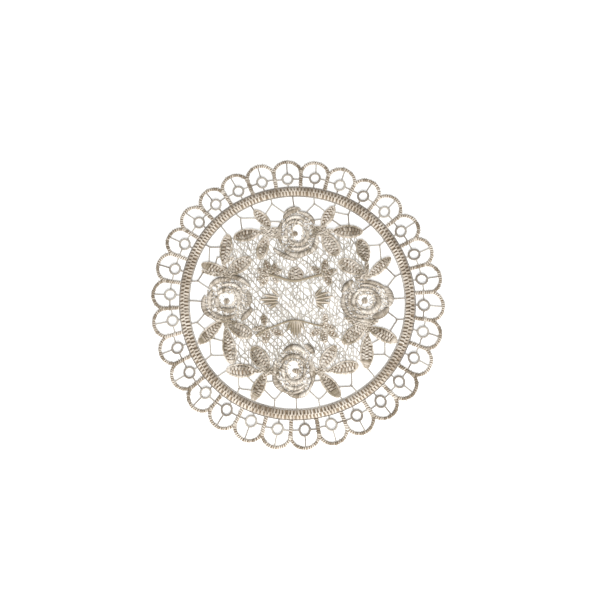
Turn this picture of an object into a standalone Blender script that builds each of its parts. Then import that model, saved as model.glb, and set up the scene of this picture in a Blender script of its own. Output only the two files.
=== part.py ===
"""Lace doily, laid flat: one sheet of satin cord, petals, leaves, bars and net, with its gaps cut through.

Metres, +Z up. The origin is the middle of the underside, which is flat. The plan of the lace is drawn in
millimetres about that point. Every strand of it is a ribbon: a path with a width, a rim height and a crest
height. The ribbons are joined in plan, small gaps are closed, and the plan becomes a closed sheet whose top
face rises to each ribbon's crest.
"""
from collections import namedtuple
from math import asin, cos, degrees, log, pi, radians, sin, sqrt

import bmesh
import bpy
import numpy as np
from mathutils import Vector
from mathutils.geometry import delaunay_2d_cdt

MM = 0.001

# --- Driving dimensions, mm -------------------------------------------------------------------------------

# Scalloped border
SCALLOPS = 30
FIRST_SCALLOP_ANGLE = -2.43  # degrees from +X
APEX_RADIUS = 98.9  # middle of the cord at a scallop's top
ARCH_FOOT_RADIUS = 90.4  # where neighbouring arches run into one leg
ARCH_POWER = 1.1  # of the sine by which an arch rises from its feet
ARCH_CORD = 2.3
ARCH_STEPS = 8
LEG_CORD = 2.4
LEG_OVERLAP = 2.4  # how far a leg runs on between its two arches
RING_CENTRE_RADIUS = 86.75
RING_RADIUS = 3.4
RING_CORD = 1.3
RING_SIDES = 8
SPOKE_WIDTH = 0.9

# Stitched band inside the border
BAND_RADIUS = 76.9
BAND_WIDTH = 7.6

# The border is laid a little unevenly: waves in a turn, size in mm and phase in degrees, outwards and round
Wave = namedtuple("Wave", "waves size phase")
OUTWARD_WAVES = (Wave(2, 0.30, 49), Wave(3, 0.30, 8), Wave(4, 0.25, 159))
ROUND_WAVES = (Wave(1, 0.45, 180), Wave(2, 0.39, -166), Wave(3, 0.27, 42), Wave(4, 0.21, -84))

# Middle
BAR_WIDTH = 0.9
NET_PITCH = 7.3  # twice that of a fine net, so that every gap is cut through
NET_WIDTH = 0.9
NET_UNEVENNESS = 0.5
NET_ANGLES = (-52.0, 33.0)  # degrees, the two ways that its strands run
STEM_WIDTH = 1.4
BRANCH_WIDTH = 2.4
GROUND_SIDES = 16  # of the meshed ground round the eye
EYE_BAR_OVERLAP = 2.0  # how far the bar across an eye reaches into the ground at each end

# Heights above the surface that it lies on: (rim, crest)
Height = namedtuple("Height", "rim crest")
BAR = Height(1.0, 1.0)
CORD = Height(1.3, 1.9)
BAND = Height(1.4, 2.1)
LEAF = Height(1.2, 2.0)
PETAL = Height(1.2, 2.3)
FILL = Height(1.1, 1.1)
RAISED = (BAND, LEAF, PETAL)  # these have relief points along their crests

# Plan tolerances, mm
SMALLEST_GAP_AREA = 20.0  # smaller gaps stay closed
OUTLINE_TOLERANCE = 0.22
SHORTEST_EDGE = 1.2
RELIEF_SPACING = 2.0  # least distance between two relief points
RELIEF_MARGIN = 0.6  # least distance from a relief point to an edge
NARROWEST_CREST = 2.0  # a narrower strand has no crest points of its own
PETAL_STEP = 3.8  # along a petal
VALLEY_RINGS = ((9.7, 12), (13.2, 16))  # radius and number of low points between a rose's rings of petals

# --- Tables of the motifs, mm and degrees -----------------------------------------------------------------

# A rose and its open eye are ovals by half their width and height; the stamen is a thick stitch in the eye
Rose = namedtuple("Rose", "x y reach_x reach_y eye_x eye_y eye_reach_x eye_reach_y")
ROSES = {
    "north": Rose(0.0, 47.0, 12.6, 15.8, 1.0, 46.6, 3.6, 6.2),
    "east": Rose(47.0, 0.0, 16.4, 13.6, 46.9, -0.8, 5.4, 4.4),
    "south": Rose(-1.0, -47.0, 12.8, 15.8, -2.0, -46.8, 3.9, 5.8),
    "west": Rose(-46.5, 0.0, 16.2, 13.6, -47.4, 0.6, 5.6, 4.2),
}
Stamen = namedtuple("Stamen", "x1 y1 x2 y2 width")
STAMENS = {
    "north": Stamen(-3.2, 45.8, 1.6, 46.6, 3.6),
    "east": Stamen(43.6, -1.4, 49.0, -0.4, 3.8),
    "south": Stamen(-3.4, -47.4, 3.6, -48.2, 3.0),
    "west": Stamen(-49.8, -1.2, -44.6, -1.2, 3.4),
}

# A petal is a crescent about its rose's middle: two angles, the radius at its start, middle and end, a width
Petal = namedtuple("Petal", "start end r_start r_middle r_end width")
PETALS = {
    "north": (
        Petal(150, 50, 8.2, 8.2, 6.8, 2.0),
        Petal(152, 42, 10.5, 11.2, 10.2, 2.2),
        Petal(84, 26, 14.6, 14.6, 13.8, 2.4),
        Petal(131, 82, 13.6, 15.3, 16.8, 2.8),
        Petal(122, 80, 15.6, 17.4, 16.8, 1.8),
        Petal(24, -142, 6.8, 8.4, 6.8, 2.6),
        Petal(156, 214, 7.2, 7.3, 7.4, 2.0),
        Petal(-118, -42, 11.2, 11.7, 12.4, 2.0),
        Petal(-124, -50, 14.2, 16.0, 14.6, 3.2),
        Petal(-145, -90, 19.4, 18.2, 19.0, 2.4),
        Petal(-8, -62, 13.8, 15.2, 17.8, 2.0),
        Petal(146, 216, 12.6, 11.8, 13.0, 2.4),
    ),
    "east": (
        Petal(48, -128, 7.3, 9.0, 7.0, 3.2),
        Petal(122, 236, 6.8, 8.3, 8.6, 2.4),
        Petal(134, 50, 8.6, 7.2, 7.6, 2.0),
        Petal(36, -16, 15.2, 16.8, 16.2, 3.8),
        Petal(112, 38, 10.4, 10.2, 11.4, 1.6),
        Petal(106, 34, 13.0, 12.6, 15.4, 2.2),
        Petal(162, 122, 16.4, 16.0, 15.6, 3.2),
        Petal(166, 230, 15.2, 15.4, 15.2, 2.8),
        Petal(150, 206, 11.4, 11.2, 11.2, 1.8),
        Petal(-138, -82, 11.8, 11.6, 10.8, 2.0),
        Petal(-132, -58, 15.6, 14.4, 15.6, 2.2),
        Petal(-70, -20, 12.2, 13.2, 15.6, 3.0),
    ),
    "south": (
        Petal(152, 38, 10.0, 9.4, 8.2, 2.6),
        Petal(40, -36, 7.2, 6.8, 6.8, 1.8),
        Petal(-32, -150, 7.0, 8.2, 6.8, 2.8),
        Petal(146, 214, 8.0, 7.8, 8.2, 2.6),
        Petal(-122, -56, 11.4, 12.4, 11.6, 2.2),
        Petal(-122, -58, 15.6, 15.0, 12.8, 1.8),
        Petal(-108, -50, 15.6, 17.2, 15.8, 2.8),
        Petal(190, 248, 13.8, 15.0, 15.4, 3.2),
        Petal(152, 196, 14.0, 13.4, 13.2, 2.2),
        Petal(118, 60, 14.2, 15.2, 13.0, 3.2),
        Petal(68, 40, 17.8, 17.4, 16.4, 3.2),
        Petal(34, -24, 12.0, 11.2, 12.2, 2.4),
    ),
    "west": (
        Petal(152, 78, 8.4, 8.0, 7.4, 2.4),
        Petal(66, -32, 8.4, 7.6, 7.6, 2.8),
        Petal(-128, -44, 6.6, 6.9, 7.6, 2.8),
        Petal(158, 240, 7.8, 8.0, 7.8, 2.4),
        Petal(116, 24, 10.8, 11.2, 10.6, 2.2),
        Petal(146, 206, 13.0, 13.0, 13.2, 2.6),
        Petal(-148, -62, 13.6, 12.2, 11.0, 2.4),
        Petal(146, 84, 15.6, 15.4, 13.4, 3.0),
        Petal(92, 32, 16.4, 16.6, 17.4, 2.8),
        Petal(26, -16, 14.2, 14.6, 14.4, 2.8),
        Petal(-18, -56, 17.2, 16.2, 16.4, 3.2),
        Petal(168, 230, 16.0, 17.2, 15.2, 2.8),
    ),
}

# A leaf runs from its base to its tip; its belly, the widest place, is a share of the way along
Leaf = namedtuple("Leaf", "base_x base_y tip_x tip_y width belly", defaults=(0.5,))
LEAVES = (
    # upper left
    Leaf(-18.0, 51.6, -29.4, 63.0, 7.6, 0.52),
    Leaf(-25.6, 47.4, -43.4, 43.6, 9.0, 0.52),
    Leaf(-20.5, 45.5, -25.4, 28.6, 8.6, 0.56),
    Leaf(-50.2, 25.6, -47.2, 46.0, 8.8, 0.55),
    Leaf(-46.8, 18.6, -31.2, 29.2, 10.2, 0.52),
    Leaf(-48.0, 19.0, -65.4, 25.0, 7.6, 0.56),
    # upper right
    Leaf(18.0, 51.0, 26.2, 65.6, 7.8, 0.5),
    Leaf(25.6, 47.8, 45.8, 47.2, 9.4, 0.5),
    Leaf(18.2, 47.0, 28.6, 30.8, 11.0, 0.56),
    Leaf(48.4, 26.0, 43.6, 42.0, 9.4, 0.55),
    Leaf(46.6, 18.4, 29.0, 26.6, 10.4, 0.6),
    Leaf(49.6, 15.6, 64.6, 29.2, 7.4, 0.52),
    # lower left
    Leaf(-50.2, -14.0, -66.0, -29.7, 8.2, 0.54),
    Leaf(-48.0, -17.0, -43.2, -43.0, 9.4, 0.66),
    Leaf(-46.0, -16.6, -30.2, -24.6, 9.8, 0.56),
    Leaf(-26.8, -48.0, -46.8, -47.2, 9.6, 0.52),
    Leaf(-18.4, -46.2, -29.8, -32.0, 11.0, 0.54),
    Leaf(-20.4, -49.0, -28.8, -67.0, 8.6, 0.55),
    # lower right
    Leaf(46.7, -17.3, 31.0, -29.4, 10.0, 0.5),
    Leaf(48.0, -18.6, 67.6, -28.4, 9.0, 0.58),
    Leaf(47.6, -24.0, 46.8, -46.2, 9.2, 0.55),
    Leaf(22.6, -47.4, 41.6, -44.0, 9.4, 0.56),
    Leaf(16.4, -45.8, 26.4, -31.0, 8.8, 0.5),
    Leaf(15.8, -49.6, 29.0, -64.8, 8.8, 0.54),
)

# Small leaves of the four sprigs
SPRIG_LEAVES = (
    # upper left, upper right
    Leaf(-17.2, 18.4, -26.6, 20.8, 5.0),
    Leaf(-17.6, 17.2, -27.0, 14.4, 5.0),
    Leaf(-19.4, 15.8, -24.4, 9.8, 4.6),
    Leaf(-19.0, 19.2, -21.2, 27.4, 5.4),
    Leaf(-17.2, 18.2, -10.0, 20.6, 5.2),
    Leaf(-16.4, 19.0, -14.2, 25.4, 4.4),
    Leaf(-16.2, 17.4, -12.6, 11.6, 3.6),
    Leaf(16.0, 16.6, 27.8, 20.6, 4.8),
    Leaf(20.8, 17.4, 22.6, 10.0, 5.8),
    Leaf(17.6, 18.0, 10.0, 22.8, 4.8),
    Leaf(18.8, 18.8, 20.2, 27.8, 5.2),
    # lower left, lower right
    Leaf(-16.8, -18.6, -27.4, -24.6, 4.0),
    Leaf(-19.8, -20.2, -20.8, -29.2, 6.6),
    Leaf(-17.0, -20.8, -8.6, -23.4, 5.0),
    Leaf(-21.2, -17.4, -22.2, -10.0, 4.6),
    Leaf(-21.0, -18.6, -29.4, -19.8, 3.8),
    Leaf(15.6, -16.6, 26.6, -19.8, 4.8),
    Leaf(16.4, -20.4, 8.8, -23.8, 5.0),
    Leaf(18.2, -19.8, 19.6, -29.0, 5.2),
    Leaf(19.8, -16.8, 19.4, -9.2, 4.2),
    Leaf(20.6, -20.6, 28.4, -25.4, 4.6),
)

# Fingers of long threads: the fans left and right of the middle, and the lower cup
FINGERS = (
    Leaf(-11.6, 1.6, -16.0, 8.4, 2.8),
    Leaf(-11.8, 0.6, -21.0, 4.0, 3.0),
    Leaf(-11.6, -0.2, -25.0, -0.6, 3.0),
    Leaf(-11.6, -1.2, -22.6, -5.4, 3.0),
    Leaf(-12.4, -2.4, -15.6, -6.6, 2.2),
    Leaf(12.2, 1.0, 16.4, 8.6, 3.0),
    Leaf(12.4, 0.4, 22.4, 5.8, 3.0),
    Leaf(12.4, -0.6, 24.6, 0.6, 2.8),
    Leaf(12.6, -1.4, 21.8, -5.4, 2.8),
    Leaf(12.4, -2.4, 15.8, -7.8, 2.6),
    Leaf(-2.6, -13.8, -5.8, -22.6, 2.4),
    Leaf(-1.4, -13.8, -3.4, -25.4, 2.4),
    Leaf(-0.6, -13.8, -0.8, -27.0, 2.6),
    Leaf(0.4, -13.8, 1.8, -25.2, 2.4),
    Leaf(1.6, -13.8, 4.6, -22.2, 2.4),
)
# The upper cup, and under each cup the swelling of its stem
CUPS = (
    Leaf(-0.5, 13.0, -0.2, 22.6, 10.8, 0.46),
    Leaf(-7.0, 14.6, 6.0, 14.9, 3.4),
    Leaf(-6.4, -14.2, 5.4, -14.4, 2.6),
)

# Short branches from the roses to the feet of their leaves
BRANCHES = (
    ((-10.5, 46.8), (-18.0, 46.8), (-27.0, 47.0)),
    ((-10.5, 50.0), (-17.0, 49.0), (-25.0, 50.4)),
    ((-9.5, 43.6), (-15.0, 44.6), (-22.0, 44.2)),
    ((11.0, 47.6), (18.0, 48.2), (26.0, 48.0)),
    ((10.5, 50.6), (15.0, 50.0), (20.5, 50.8)),
    ((10.5, 44.4), (15.0, 45.4), (20.0, 45.8)),
    ((-46.0, 14.0), (-47.6, 17.4), (-50.6, 27.0)),
    ((-64.6, 20.6), (-58.0, 18.1), (-49.5, 17.4), (-41.0, 17.4)),
    ((-50.0, 26.0), (-47.0, 27.4), (-43.0, 30.0)),
    ((46.6, 13.0), (48.2, 16.6), (48.2, 27.0)),
    ((40.0, 14.4), (45.0, 16.4), (50.6, 15.8)),
    ((-46.8, -12.0), (-47.4, -14.5), (-47.8, -18.0)),
    ((-54.0, -12.6), (-47.0, -14.6), (-40.0, -15.4)),
    ((47.0, -13.0), (47.6, -18.0), (47.8, -24.5)),
    ((33.0, -11.5), (38.0, -15.6), (45.0, -17.4)),
    ((55.0, -14.2), (50.5, -16.4), (46.5, -17.0)),
    ((-11.5, -46.4), (-18.0, -47.2), (-28.0, -48.0)),
    ((-11.5, -49.6), (-15.0, -49.0), (-21.0, -49.6)),
    ((10.5, -46.4), (16.0, -47.4), (23.5, -47.6)),
    ((10.0, -49.4), (14.0, -49.2), (18.5, -50.6)),
)

# Curved stems under the upper and over the lower rose
STEMS = (
    ((-18.5, 17.4), (-11.3, 15.6), (-6.7, 13.8), (-0.5, 12.9), (6.7, 14.6), (11.3, 16.0), (17.5, 17.6)),
    ((-27.0, -24.0), (-18.5, -19.4), (-11.3, -16.4), (-6.2, -14.8), (-0.5, -13.8), (5.6, -14.9),
     (11.3, -16.6), (16.5, -17.8)),
)

# Bars between the band and the motifs: routes of two or three points
BARS = (
    # top, going left
    ((-2.7, 74.0), (-1.4, 64.5)),
    ((-17.9, 73.0), (-17.0, 67.4), (-7.0, 59.8)),
    ((-17.0, 67.4), (-22.4, 58.6)),
    ((-32.0, 67.5), (-28.5, 61.5)),
    ((-42.8, 62.0), (-38.8, 57.4), (-25.0, 57.4)),
    ((-38.8, 57.4), (-37.6, 48.0)),
    ((-53.4, 53.6), (-47.2, 45.0)),
    ((-19.0, 54.9), (-9.0, 54.6)),
    ((-64.0, 39.4), (-60.0, 37.0), (-50.0, 37.2)),
    ((-60.0, 37.0), (-60.2, 24.0)),
    ((-56.0, 23.0), (-54.6, 29.7), (-49.0, 30.8)),
    ((-72.5, 13.3), (-67.6, 13.3), (-62.2, 23.5)),
    ((-67.6, 13.3), (-58.5, 7.2)),
    ((-74.5, 0.0), (-64.0, -1.0)),
    # top, going right
    ((12.2, 73.5), (12.7, 67.2), (6.0, 59.5)),
    ((12.7, 67.2), (21.0, 60.8)),
    ((9.5, 55.2), (19.5, 56.5)),
    ((26.4, 65.5), (27.6, 70.0)),
    ((25.5, 61.6), (36.0, 59.2), (37.8, 64.2)),
    ((36.0, 59.2), (36.6, 49.5)),
    ((22.5, 57.5), (33.5, 49.0)),
    ((44.5, 46.6), (52.4, 53.0)),
    ((61.6, 42.0), (57.3, 37.7), (45.0, 37.0)),
    ((57.3, 37.7), (58.0, 25.0)),
    ((73.0, 18.4), (67.3, 15.6), (59.5, 23.5)),
    ((67.3, 15.6), (60.0, 6.8)),
    ((64.0, 0.5), (74.5, 1.0)),
    # bottom, going left
    ((-71.6, -16.4), (-67.3, -15.4), (-61.0, -7.5)),
    ((-67.3, -15.4), (-59.0, -22.5)),
    ((-61.2, -25.6), (-55.3, -26.2), (-47.5, -28.0)),
    ((-58.4, -25.8), (-57.5, -37.8), (-46.5, -37.4)),
    ((-57.5, -37.8), (-61.4, -40.8)),
    ((-45.5, -47.2), (-53.4, -52.4)),
    ((-38.4, -50.0), (-38.1, -59.7), (-27.0, -61.2)),
    ((-38.1, -59.7), (-39.2, -63.4)),
    ((-33.2, -50.5), (-26.0, -57.5)),
    ((-21.5, -60.0), (-14.2, -67.2), (-8.5, -60.5)),
    ((-14.2, -67.2), (-14.4, -73.5)),
    ((-23.0, -55.5), (-14.0, -54.5)),
    ((0.0, -64.0), (0.4, -74.0)),
    # bottom, going right
    ((8.5, -60.8), (15.0, -67.0), (22.0, -59.8)),
    ((15.0, -67.0), (15.8, -73.5)),
    ((9.0, -54.6), (18.5, -54.0)),
    ((28.6, -63.6), (31.0, -68.0)),
    ((26.0, -58.6), (37.0, -58.0), (36.8, -45.5)),
    ((37.0, -58.0), (40.6, -62.2)),
    ((46.9, -45.2), (52.4, -52.6)),
    ((59.6, -26.5), (59.4, -37.2), (48.5, -37.2)),
    ((59.4, -37.2), (64.2, -40.2)),
    ((48.5, -30.8), (56.5, -26.0)),
    ((59.5, -6.8), (68.3, -13.6), (62.5, -22.5)),
    ((68.3, -13.6), (73.6, -13.0)),
)

# Edge of the net. It runs under roses, branches and leaves, so no strand's end shows
NET_EDGE = (
    (0.0, 38.0), (-8.0, 41.0), (-12.5, 47.4), (-26.0, 48.0), (-42.5, 43.9), (-47.2, 43.0), (-49.6, 27.0),
    (-47.6, 18.5), (-47.0, 13.0), (-40.5, 8.0), (-38.5, 0.0), (-40.5, -8.0), (-46.8, -13.0), (-47.4, -17.0),
    (-45.4, -28.0), (-43.6, -40.5), (-44.0, -47.3), (-28.5, -48.0), (-13.0, -47.2), (-8.5, -42.0),
    (-1.0, -38.5), (7.0, -41.0), (11.0, -47.0), (23.5, -47.1), (40.0, -43.7), (43.4, -42.0), (46.8, -40.0),
    (47.4, -23.0), (47.0, -13.0), (41.0, -8.0), (38.5, 0.0), (41.0, 8.0), (47.0, 13.0), (47.8, 18.5),
    (45.4, 29.0), (43.0, 39.5), (41.2, 44.0), (39.5, 47.2), (27.0, 48.0), (12.5, 47.7), (8.0, 41.0),
)

Ribbon = namedtuple("Ribbon", "path halves height closed")
THREAD_COLOUR = (0.515, 0.455, 0.372, 1.0)
THREAD_ROUGHNESS = 0.75


# --- Ribbons in plan --------------------------------------------------------------------------------------

def polar(radius, angle):
    """Point at a radius and an angle in degrees about the doily's middle."""
    return np.array((radius * cos(radians(angle)), radius * sin(radians(angle))))


def laid(radius, angle):
    """Point of the border, moved out and round by its uneven laying.

    Each wave adds its size times the cosine of (its waves in a turn times the angle, plus its phase).
    """
    outward = sum(wave.size * cos(radians(wave.waves * angle + wave.phase)) for wave in OUTWARD_WAVES)
    along = sum(wave.size * cos(radians(wave.waves * angle + wave.phase)) for wave in ROUND_WAVES)
    radius = radius + outward * (radius / BAND_RADIUS) ** 1.5
    return polar(radius, angle + degrees(along / RING_CENTRE_RADIUS))


def oval(x, y, reach_x, reach_y, turn):
    """Points round an oval at the angles given by turn."""
    return np.stack((x + reach_x * np.cos(turn), y + reach_y * np.sin(turn)), 1)


def ribbon(path, width, height, closed=False):
    """A strand of even width, or with one width for each point of its path."""
    path = np.asarray(path, float)
    return Ribbon(path, np.ones(len(path)) * np.asarray(width) / 2, height, closed)


def edges_of(strand):
    """Left and right edge of a ribbon: the path moved by half the width, square to its direction."""
    path = strand.path
    if strand.closed:
        ahead = np.roll(path, -1, 0) - np.roll(path, 1, 0)
    else:
        ahead = np.gradient(path, axis=0)
    ahead /= np.linalg.norm(ahead, axis=1)[:, None]
    side = np.stack((-ahead[:, 1], ahead[:, 0]), 1) * strand.halves[:, None]
    return path + side, path - side


def lens(points, width, height, blunt=0.75, least=1.0, belly=0.5):
    """A leaf or petal: a ribbon whose width swells from its ends to its belly as a power of a sine."""
    swell = np.sin(pi * np.linspace(0, 1, len(points)) ** (log(0.5) / log(belly))) ** blunt
    return ribbon(points, np.maximum(swell * width, least), height)


def leaf(row, steps=6):
    """A leaf between its base and its tip, widest at its middle."""
    base, tip = np.array(row[:2]), np.array(row[2:4])
    route = [base + (tip - base) * i / steps for i in range(steps + 1)]
    return lens(route, row.width, LEAF, blunt=0.55, belly=row.belly)


def petal(rose, row):
    """A crescent about the rose's middle, its radius a parabola through the row's three radii."""
    steps = max(5, int(round(abs(row.end - row.start) * row.r_middle / 60 / PETAL_STEP)) + 1)
    t = np.linspace(0, 1, steps + 1)
    bulge = 4 * (row.r_middle - (row.r_start + row.r_end) / 2)
    radius = row.r_start + (row.r_end - row.r_start) * t + bulge * t * (1 - t)
    angle = np.radians(row.start + (row.end - row.start) * t)
    path = np.stack((rose.x + radius * np.cos(angle), rose.y + radius * np.sin(angle)), 1)
    return lens(path, row.width, PETAL, blunt=0.5, least=0.7)


def circle(x, y, radius, width, height, steps, first=0.0):
    """A closed round ribbon whose first corner lies at an angle in degrees."""
    angle = radians(first) + np.arange(steps) * 2 * pi / steps
    path = np.stack((x + radius * np.cos(angle), y + radius * np.sin(angle)), 1)
    return ribbon(path, width, height, closed=True)


def scallop(middle_angle):
    """One scallop: its arch, the leg on its far side, and the small ring with its four spokes."""
    half_pitch = 180.0 / SCALLOPS
    arch = []
    for i in range(ARCH_STEPS + 1):
        turn = pi * i / ARCH_STEPS
        radius = ARCH_FOOT_RADIUS + (APEX_RADIUS - ARCH_FOOT_RADIUS) * sin(turn) ** ARCH_POWER
        arch.append(laid(radius, middle_angle - half_pitch * cos(turn)))
    ring_angle = degrees(asin(RING_RADIUS / RING_CENTRE_RADIUS))
    band_edge = BAND_RADIUS + BAND_WIDTH / 2 - 1.0
    leg_angle = middle_angle + half_pitch
    spokes = (
        (laid(RING_CENTRE_RADIUS + RING_RADIUS, middle_angle), laid(APEX_RADIUS, middle_angle)),
        (laid(RING_CENTRE_RADIUS - RING_RADIUS, middle_angle), laid(band_edge, middle_angle)),
        (laid(RING_CENTRE_RADIUS, middle_angle + ring_angle), laid(RING_CENTRE_RADIUS + 0.4, leg_angle)),
        (laid(RING_CENTRE_RADIUS, middle_angle - ring_angle),
         laid(RING_CENTRE_RADIUS + 0.4, leg_angle - 2 * half_pitch)),
    )
    ring_centre = laid(RING_CENTRE_RADIUS, middle_angle)
    strands = [
        ribbon(arch, ARCH_CORD, CORD),
        ribbon((laid(band_edge, leg_angle), laid(ARCH_FOOT_RADIUS + LEG_OVERLAP, leg_angle)), LEG_CORD, CORD),
        circle(*ring_centre, RING_RADIUS, RING_CORD, BAR, RING_SIDES, middle_angle),
    ]
    return strands + [ribbon(spoke, SPOKE_WIDTH, BAR) for spoke in spokes]


def rose(name):
    """One rose: a meshed ring round the open eye, the petals on it, and a stamen on a bar across the eye."""
    row = ROSES[name]
    turn = np.arange(GROUND_SIDES) * 2 * pi / GROUND_SIDES
    eye = oval(row.eye_x, row.eye_y, row.eye_reach_x, row.eye_reach_y, turn)
    edge = oval(row.x, row.y, row.reach_x, row.reach_y, turn)
    strands = [ribbon((eye + edge) / 2, np.linalg.norm(edge - eye, axis=1), FILL, closed=True)]
    strands += [petal(row, each) for each in PETALS[name]]
    one = STAMENS[name]
    left, right = np.array((one.x1, one.y1)), np.array((one.x2, one.y2))
    reach = (right - left) / np.linalg.norm(right - left) * (row.eye_reach_x + EYE_BAR_OVERLAP)
    strands.append(ribbon([(left + right) / 2 + reach * t for t in (-1, 0, 1)], BAR_WIDTH, BAR))
    stamen = [left + (right - left) * t for t in np.linspace(0, 1, 7)]
    strands.append(lens(stamen, one.width, LEAF))
    return strands


def inside(points, outlines_of_area):
    """True for each point from which a ray crosses the outlines an odd number of times."""
    x, y = points[:, 0, None], points[:, 1, None]
    here = np.vstack(outlines_of_area)
    there = np.vstack([np.roll(outline, -1, 0) for outline in outlines_of_area])
    spans = (here[:, 1] > y) != (there[:, 1] > y)
    rise = np.where(here[:, 1] == there[:, 1], 1.0, there[:, 1] - here[:, 1])
    crossing = here[:, 0] + (y - here[:, 1]) * (there[:, 0] - here[:, 0]) / rise
    return (spans & (x < crossing)).sum(1) % 2 == 1


def net():
    """Two sets of even strands over the middle, each cut where it leaves the net's edge."""
    outline = np.array(NET_EDGE)
    reach = np.abs(outline).max() * sqrt(2)
    strands = []
    for angle in NET_ANGLES:
        way = np.array((cos(radians(angle)), sin(radians(angle))))
        across = np.array((-way[1], way[0]))
        count = int(reach // NET_PITCH)
        for i in range(-count, count + 1):
            shift = (i + 0.5) * NET_PITCH + NET_UNEVENNESS * sin(2.4 * i)
            line = across * shift + way * np.linspace(-reach, reach, 400)[:, None]
            within = inside(line, [outline])
            ends = np.flatnonzero(np.diff(np.concatenate(([0], within, [0]))))
            for first, last in zip(ends[::2], ends[1::2]):
                if last - first > 8:
                    strands.append(ribbon((line[first], line[last - 1]), NET_WIDTH, BAR))
    return strands


def lace():
    """Every strand of the doily."""
    corners = [FIRST_SCALLOP_ANGLE + i * 180.0 / SCALLOPS for i in range(2 * SCALLOPS)]
    strands = [ribbon([laid(BAND_RADIUS, angle) for angle in corners], BAND_WIDTH, BAND, closed=True)]
    for i in range(SCALLOPS):
        strands += scallop(FIRST_SCALLOP_ANGLE + i * 360.0 / SCALLOPS)
    for name in ROSES:
        strands += rose(name)
    strands += [leaf(row) for row in LEAVES]
    strands += [leaf(row, steps=4) for row in SPRIG_LEAVES + FINGERS + CUPS]
    strands += [ribbon(stem, STEM_WIDTH, CORD) for stem in STEMS]
    strands += [ribbon(branch, BRANCH_WIDTH, CORD) for branch in BRANCHES]
    strands += [ribbon(bar, BAR_WIDTH, BAR) for bar in BARS]
    return strands + net()


# --- Joining the plan -------------------------------------------------------------------------------------

def quads_of(strands):
    """All ribbons as plan points and four-sided faces."""
    points, faces = [], []
    for strand in strands:
        left, right = edges_of(strand)
        start, count = len(points), len(left)
        points.extend(np.stack((left, right), 1).reshape(-1, 2))
        for i in range(count if strand.closed else count - 1):
            j = (i + 1) % count
            faces.append([start + 2 * i, start + 2 * i + 1, start + 2 * j + 1, start + 2 * j])
    return points, faces


def outlines(strands):
    """Closed outlines of the joined ribbons: the doily's own outline first, then its gaps."""
    points, faces = quads_of(strands)
    merged = delaunay_2d_cdt([Vector(p) for p in points], [], faces, 1, 1e-4, True)
    plan_points, triangles, sources = merged[0], merged[2], merged[5]
    sides = {}
    for triangle, source in zip(triangles, sources):
        if source:
            for a, b in zip(triangle, triangle[1:] + triangle[:1]):
                sides[a, b] = True
    following = {}
    for a, b in sides:
        if (b, a) not in sides:
            following.setdefault(a, []).append(b)
    loops = []
    while following:
        first = here = next(iter(following))
        loop = []
        while here in following:
            loop.append(here)
            ahead = following[here].pop()
            if not following[here]:
                del following[here]
            here = ahead
            if here == first:
                break
        loops.append(np.array([plan_points[i][:] for i in loop]))
    loops = [loop for loop in loops if abs(area(loop)) > SMALLEST_GAP_AREA]
    return sorted(loops, key=lambda loop: -abs(area(loop)))


def area(loop):
    """Signed area of a closed outline."""
    x, y = loop.T
    return 0.5 * float(np.sum(x * np.roll(y, -1) - y * np.roll(x, -1)))


def thinned(loop):
    """A closed outline with only the points that its shape needs, and no very short edge."""
    far = int(np.argmax(np.linalg.norm(loop - loop[0], axis=1)))
    out, back = loop[:far + 1], np.vstack((loop[far:], loop[:1]))
    loop = np.vstack((straightened(out)[:-1], straightened(back)[:-1]))
    kept = [loop[0]]
    for point in loop[1:]:
        if np.linalg.norm(point - kept[-1]) > SHORTEST_EDGE:
            kept.append(point)
    if np.linalg.norm(kept[-1] - kept[0]) < SHORTEST_EDGE:
        kept.pop()
    return np.array(kept)


def straightened(run):
    """An open run of points without those that lie within the tolerance of a straight line."""
    chord = run[-1] - run[0]
    length = np.linalg.norm(chord)
    if len(run) < 3 or length == 0:
        return run
    off = np.abs(chord[0] * (run[:, 1] - run[0, 1]) - chord[1] * (run[:, 0] - run[0, 0])) / length
    worst = int(np.argmax(off))
    if off[worst] < OUTLINE_TOLERANCE:
        return run[[0, -1]]
    return np.vstack((straightened(run[:worst + 1])[:-1], straightened(run[worst:])))


# --- Relief -----------------------------------------------------------------------------------------------

def to_segments(points, path, closed):
    """Distance from each point to each segment of a path, and how far along the segment it is nearest."""
    start = path if closed else path[:-1]
    run = (np.roll(path, -1, 0) if closed else path[1:]) - start
    t = ((points[:, None] - start) * run).sum(2) / (run * run).sum(1)
    t = np.clip(t, 0, 1)
    gap = points[:, None] - start - run * t[..., None]
    return np.hypot(gap[..., 0], gap[..., 1]), t


def heights(points, strands):
    """Height of the top face at each point: the highest ribbon there, rounded from its rim to its crest."""
    top = np.full(len(points), BAR.rim)
    for strand in strands:
        distance, t = to_segments(points, strand.path, strand.closed)
        near = distance.argmin(1)
        rows = np.arange(len(points))
        ahead = np.roll(strand.halves, -1)
        half = strand.halves[near] + (ahead[near] - strand.halves[near]) * t[rows, near]
        across = distance[rows, near] / half
        rise = strand.height.rim + (strand.height.crest - strand.height.rim) * np.clip(1 - across ** 2, 0, 1)
        top = np.where(across < 1.1, np.maximum(top, rise), top)
    return top


def rose_valleys(strands):
    """Low points between the rings of petals of each rose, where no petal lies."""
    points = []
    for row in ROSES.values():
        for radius, count in VALLEY_RINGS:
            turn = np.arange(count) * 2 * pi / count
            points.extend(np.stack((row.x + radius * np.cos(turn), row.y + radius * np.sin(turn)), 1))
    points = np.array(points)
    return points[heights(points, strands) < (PETAL.rim + PETAL.crest) / 2]


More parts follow.
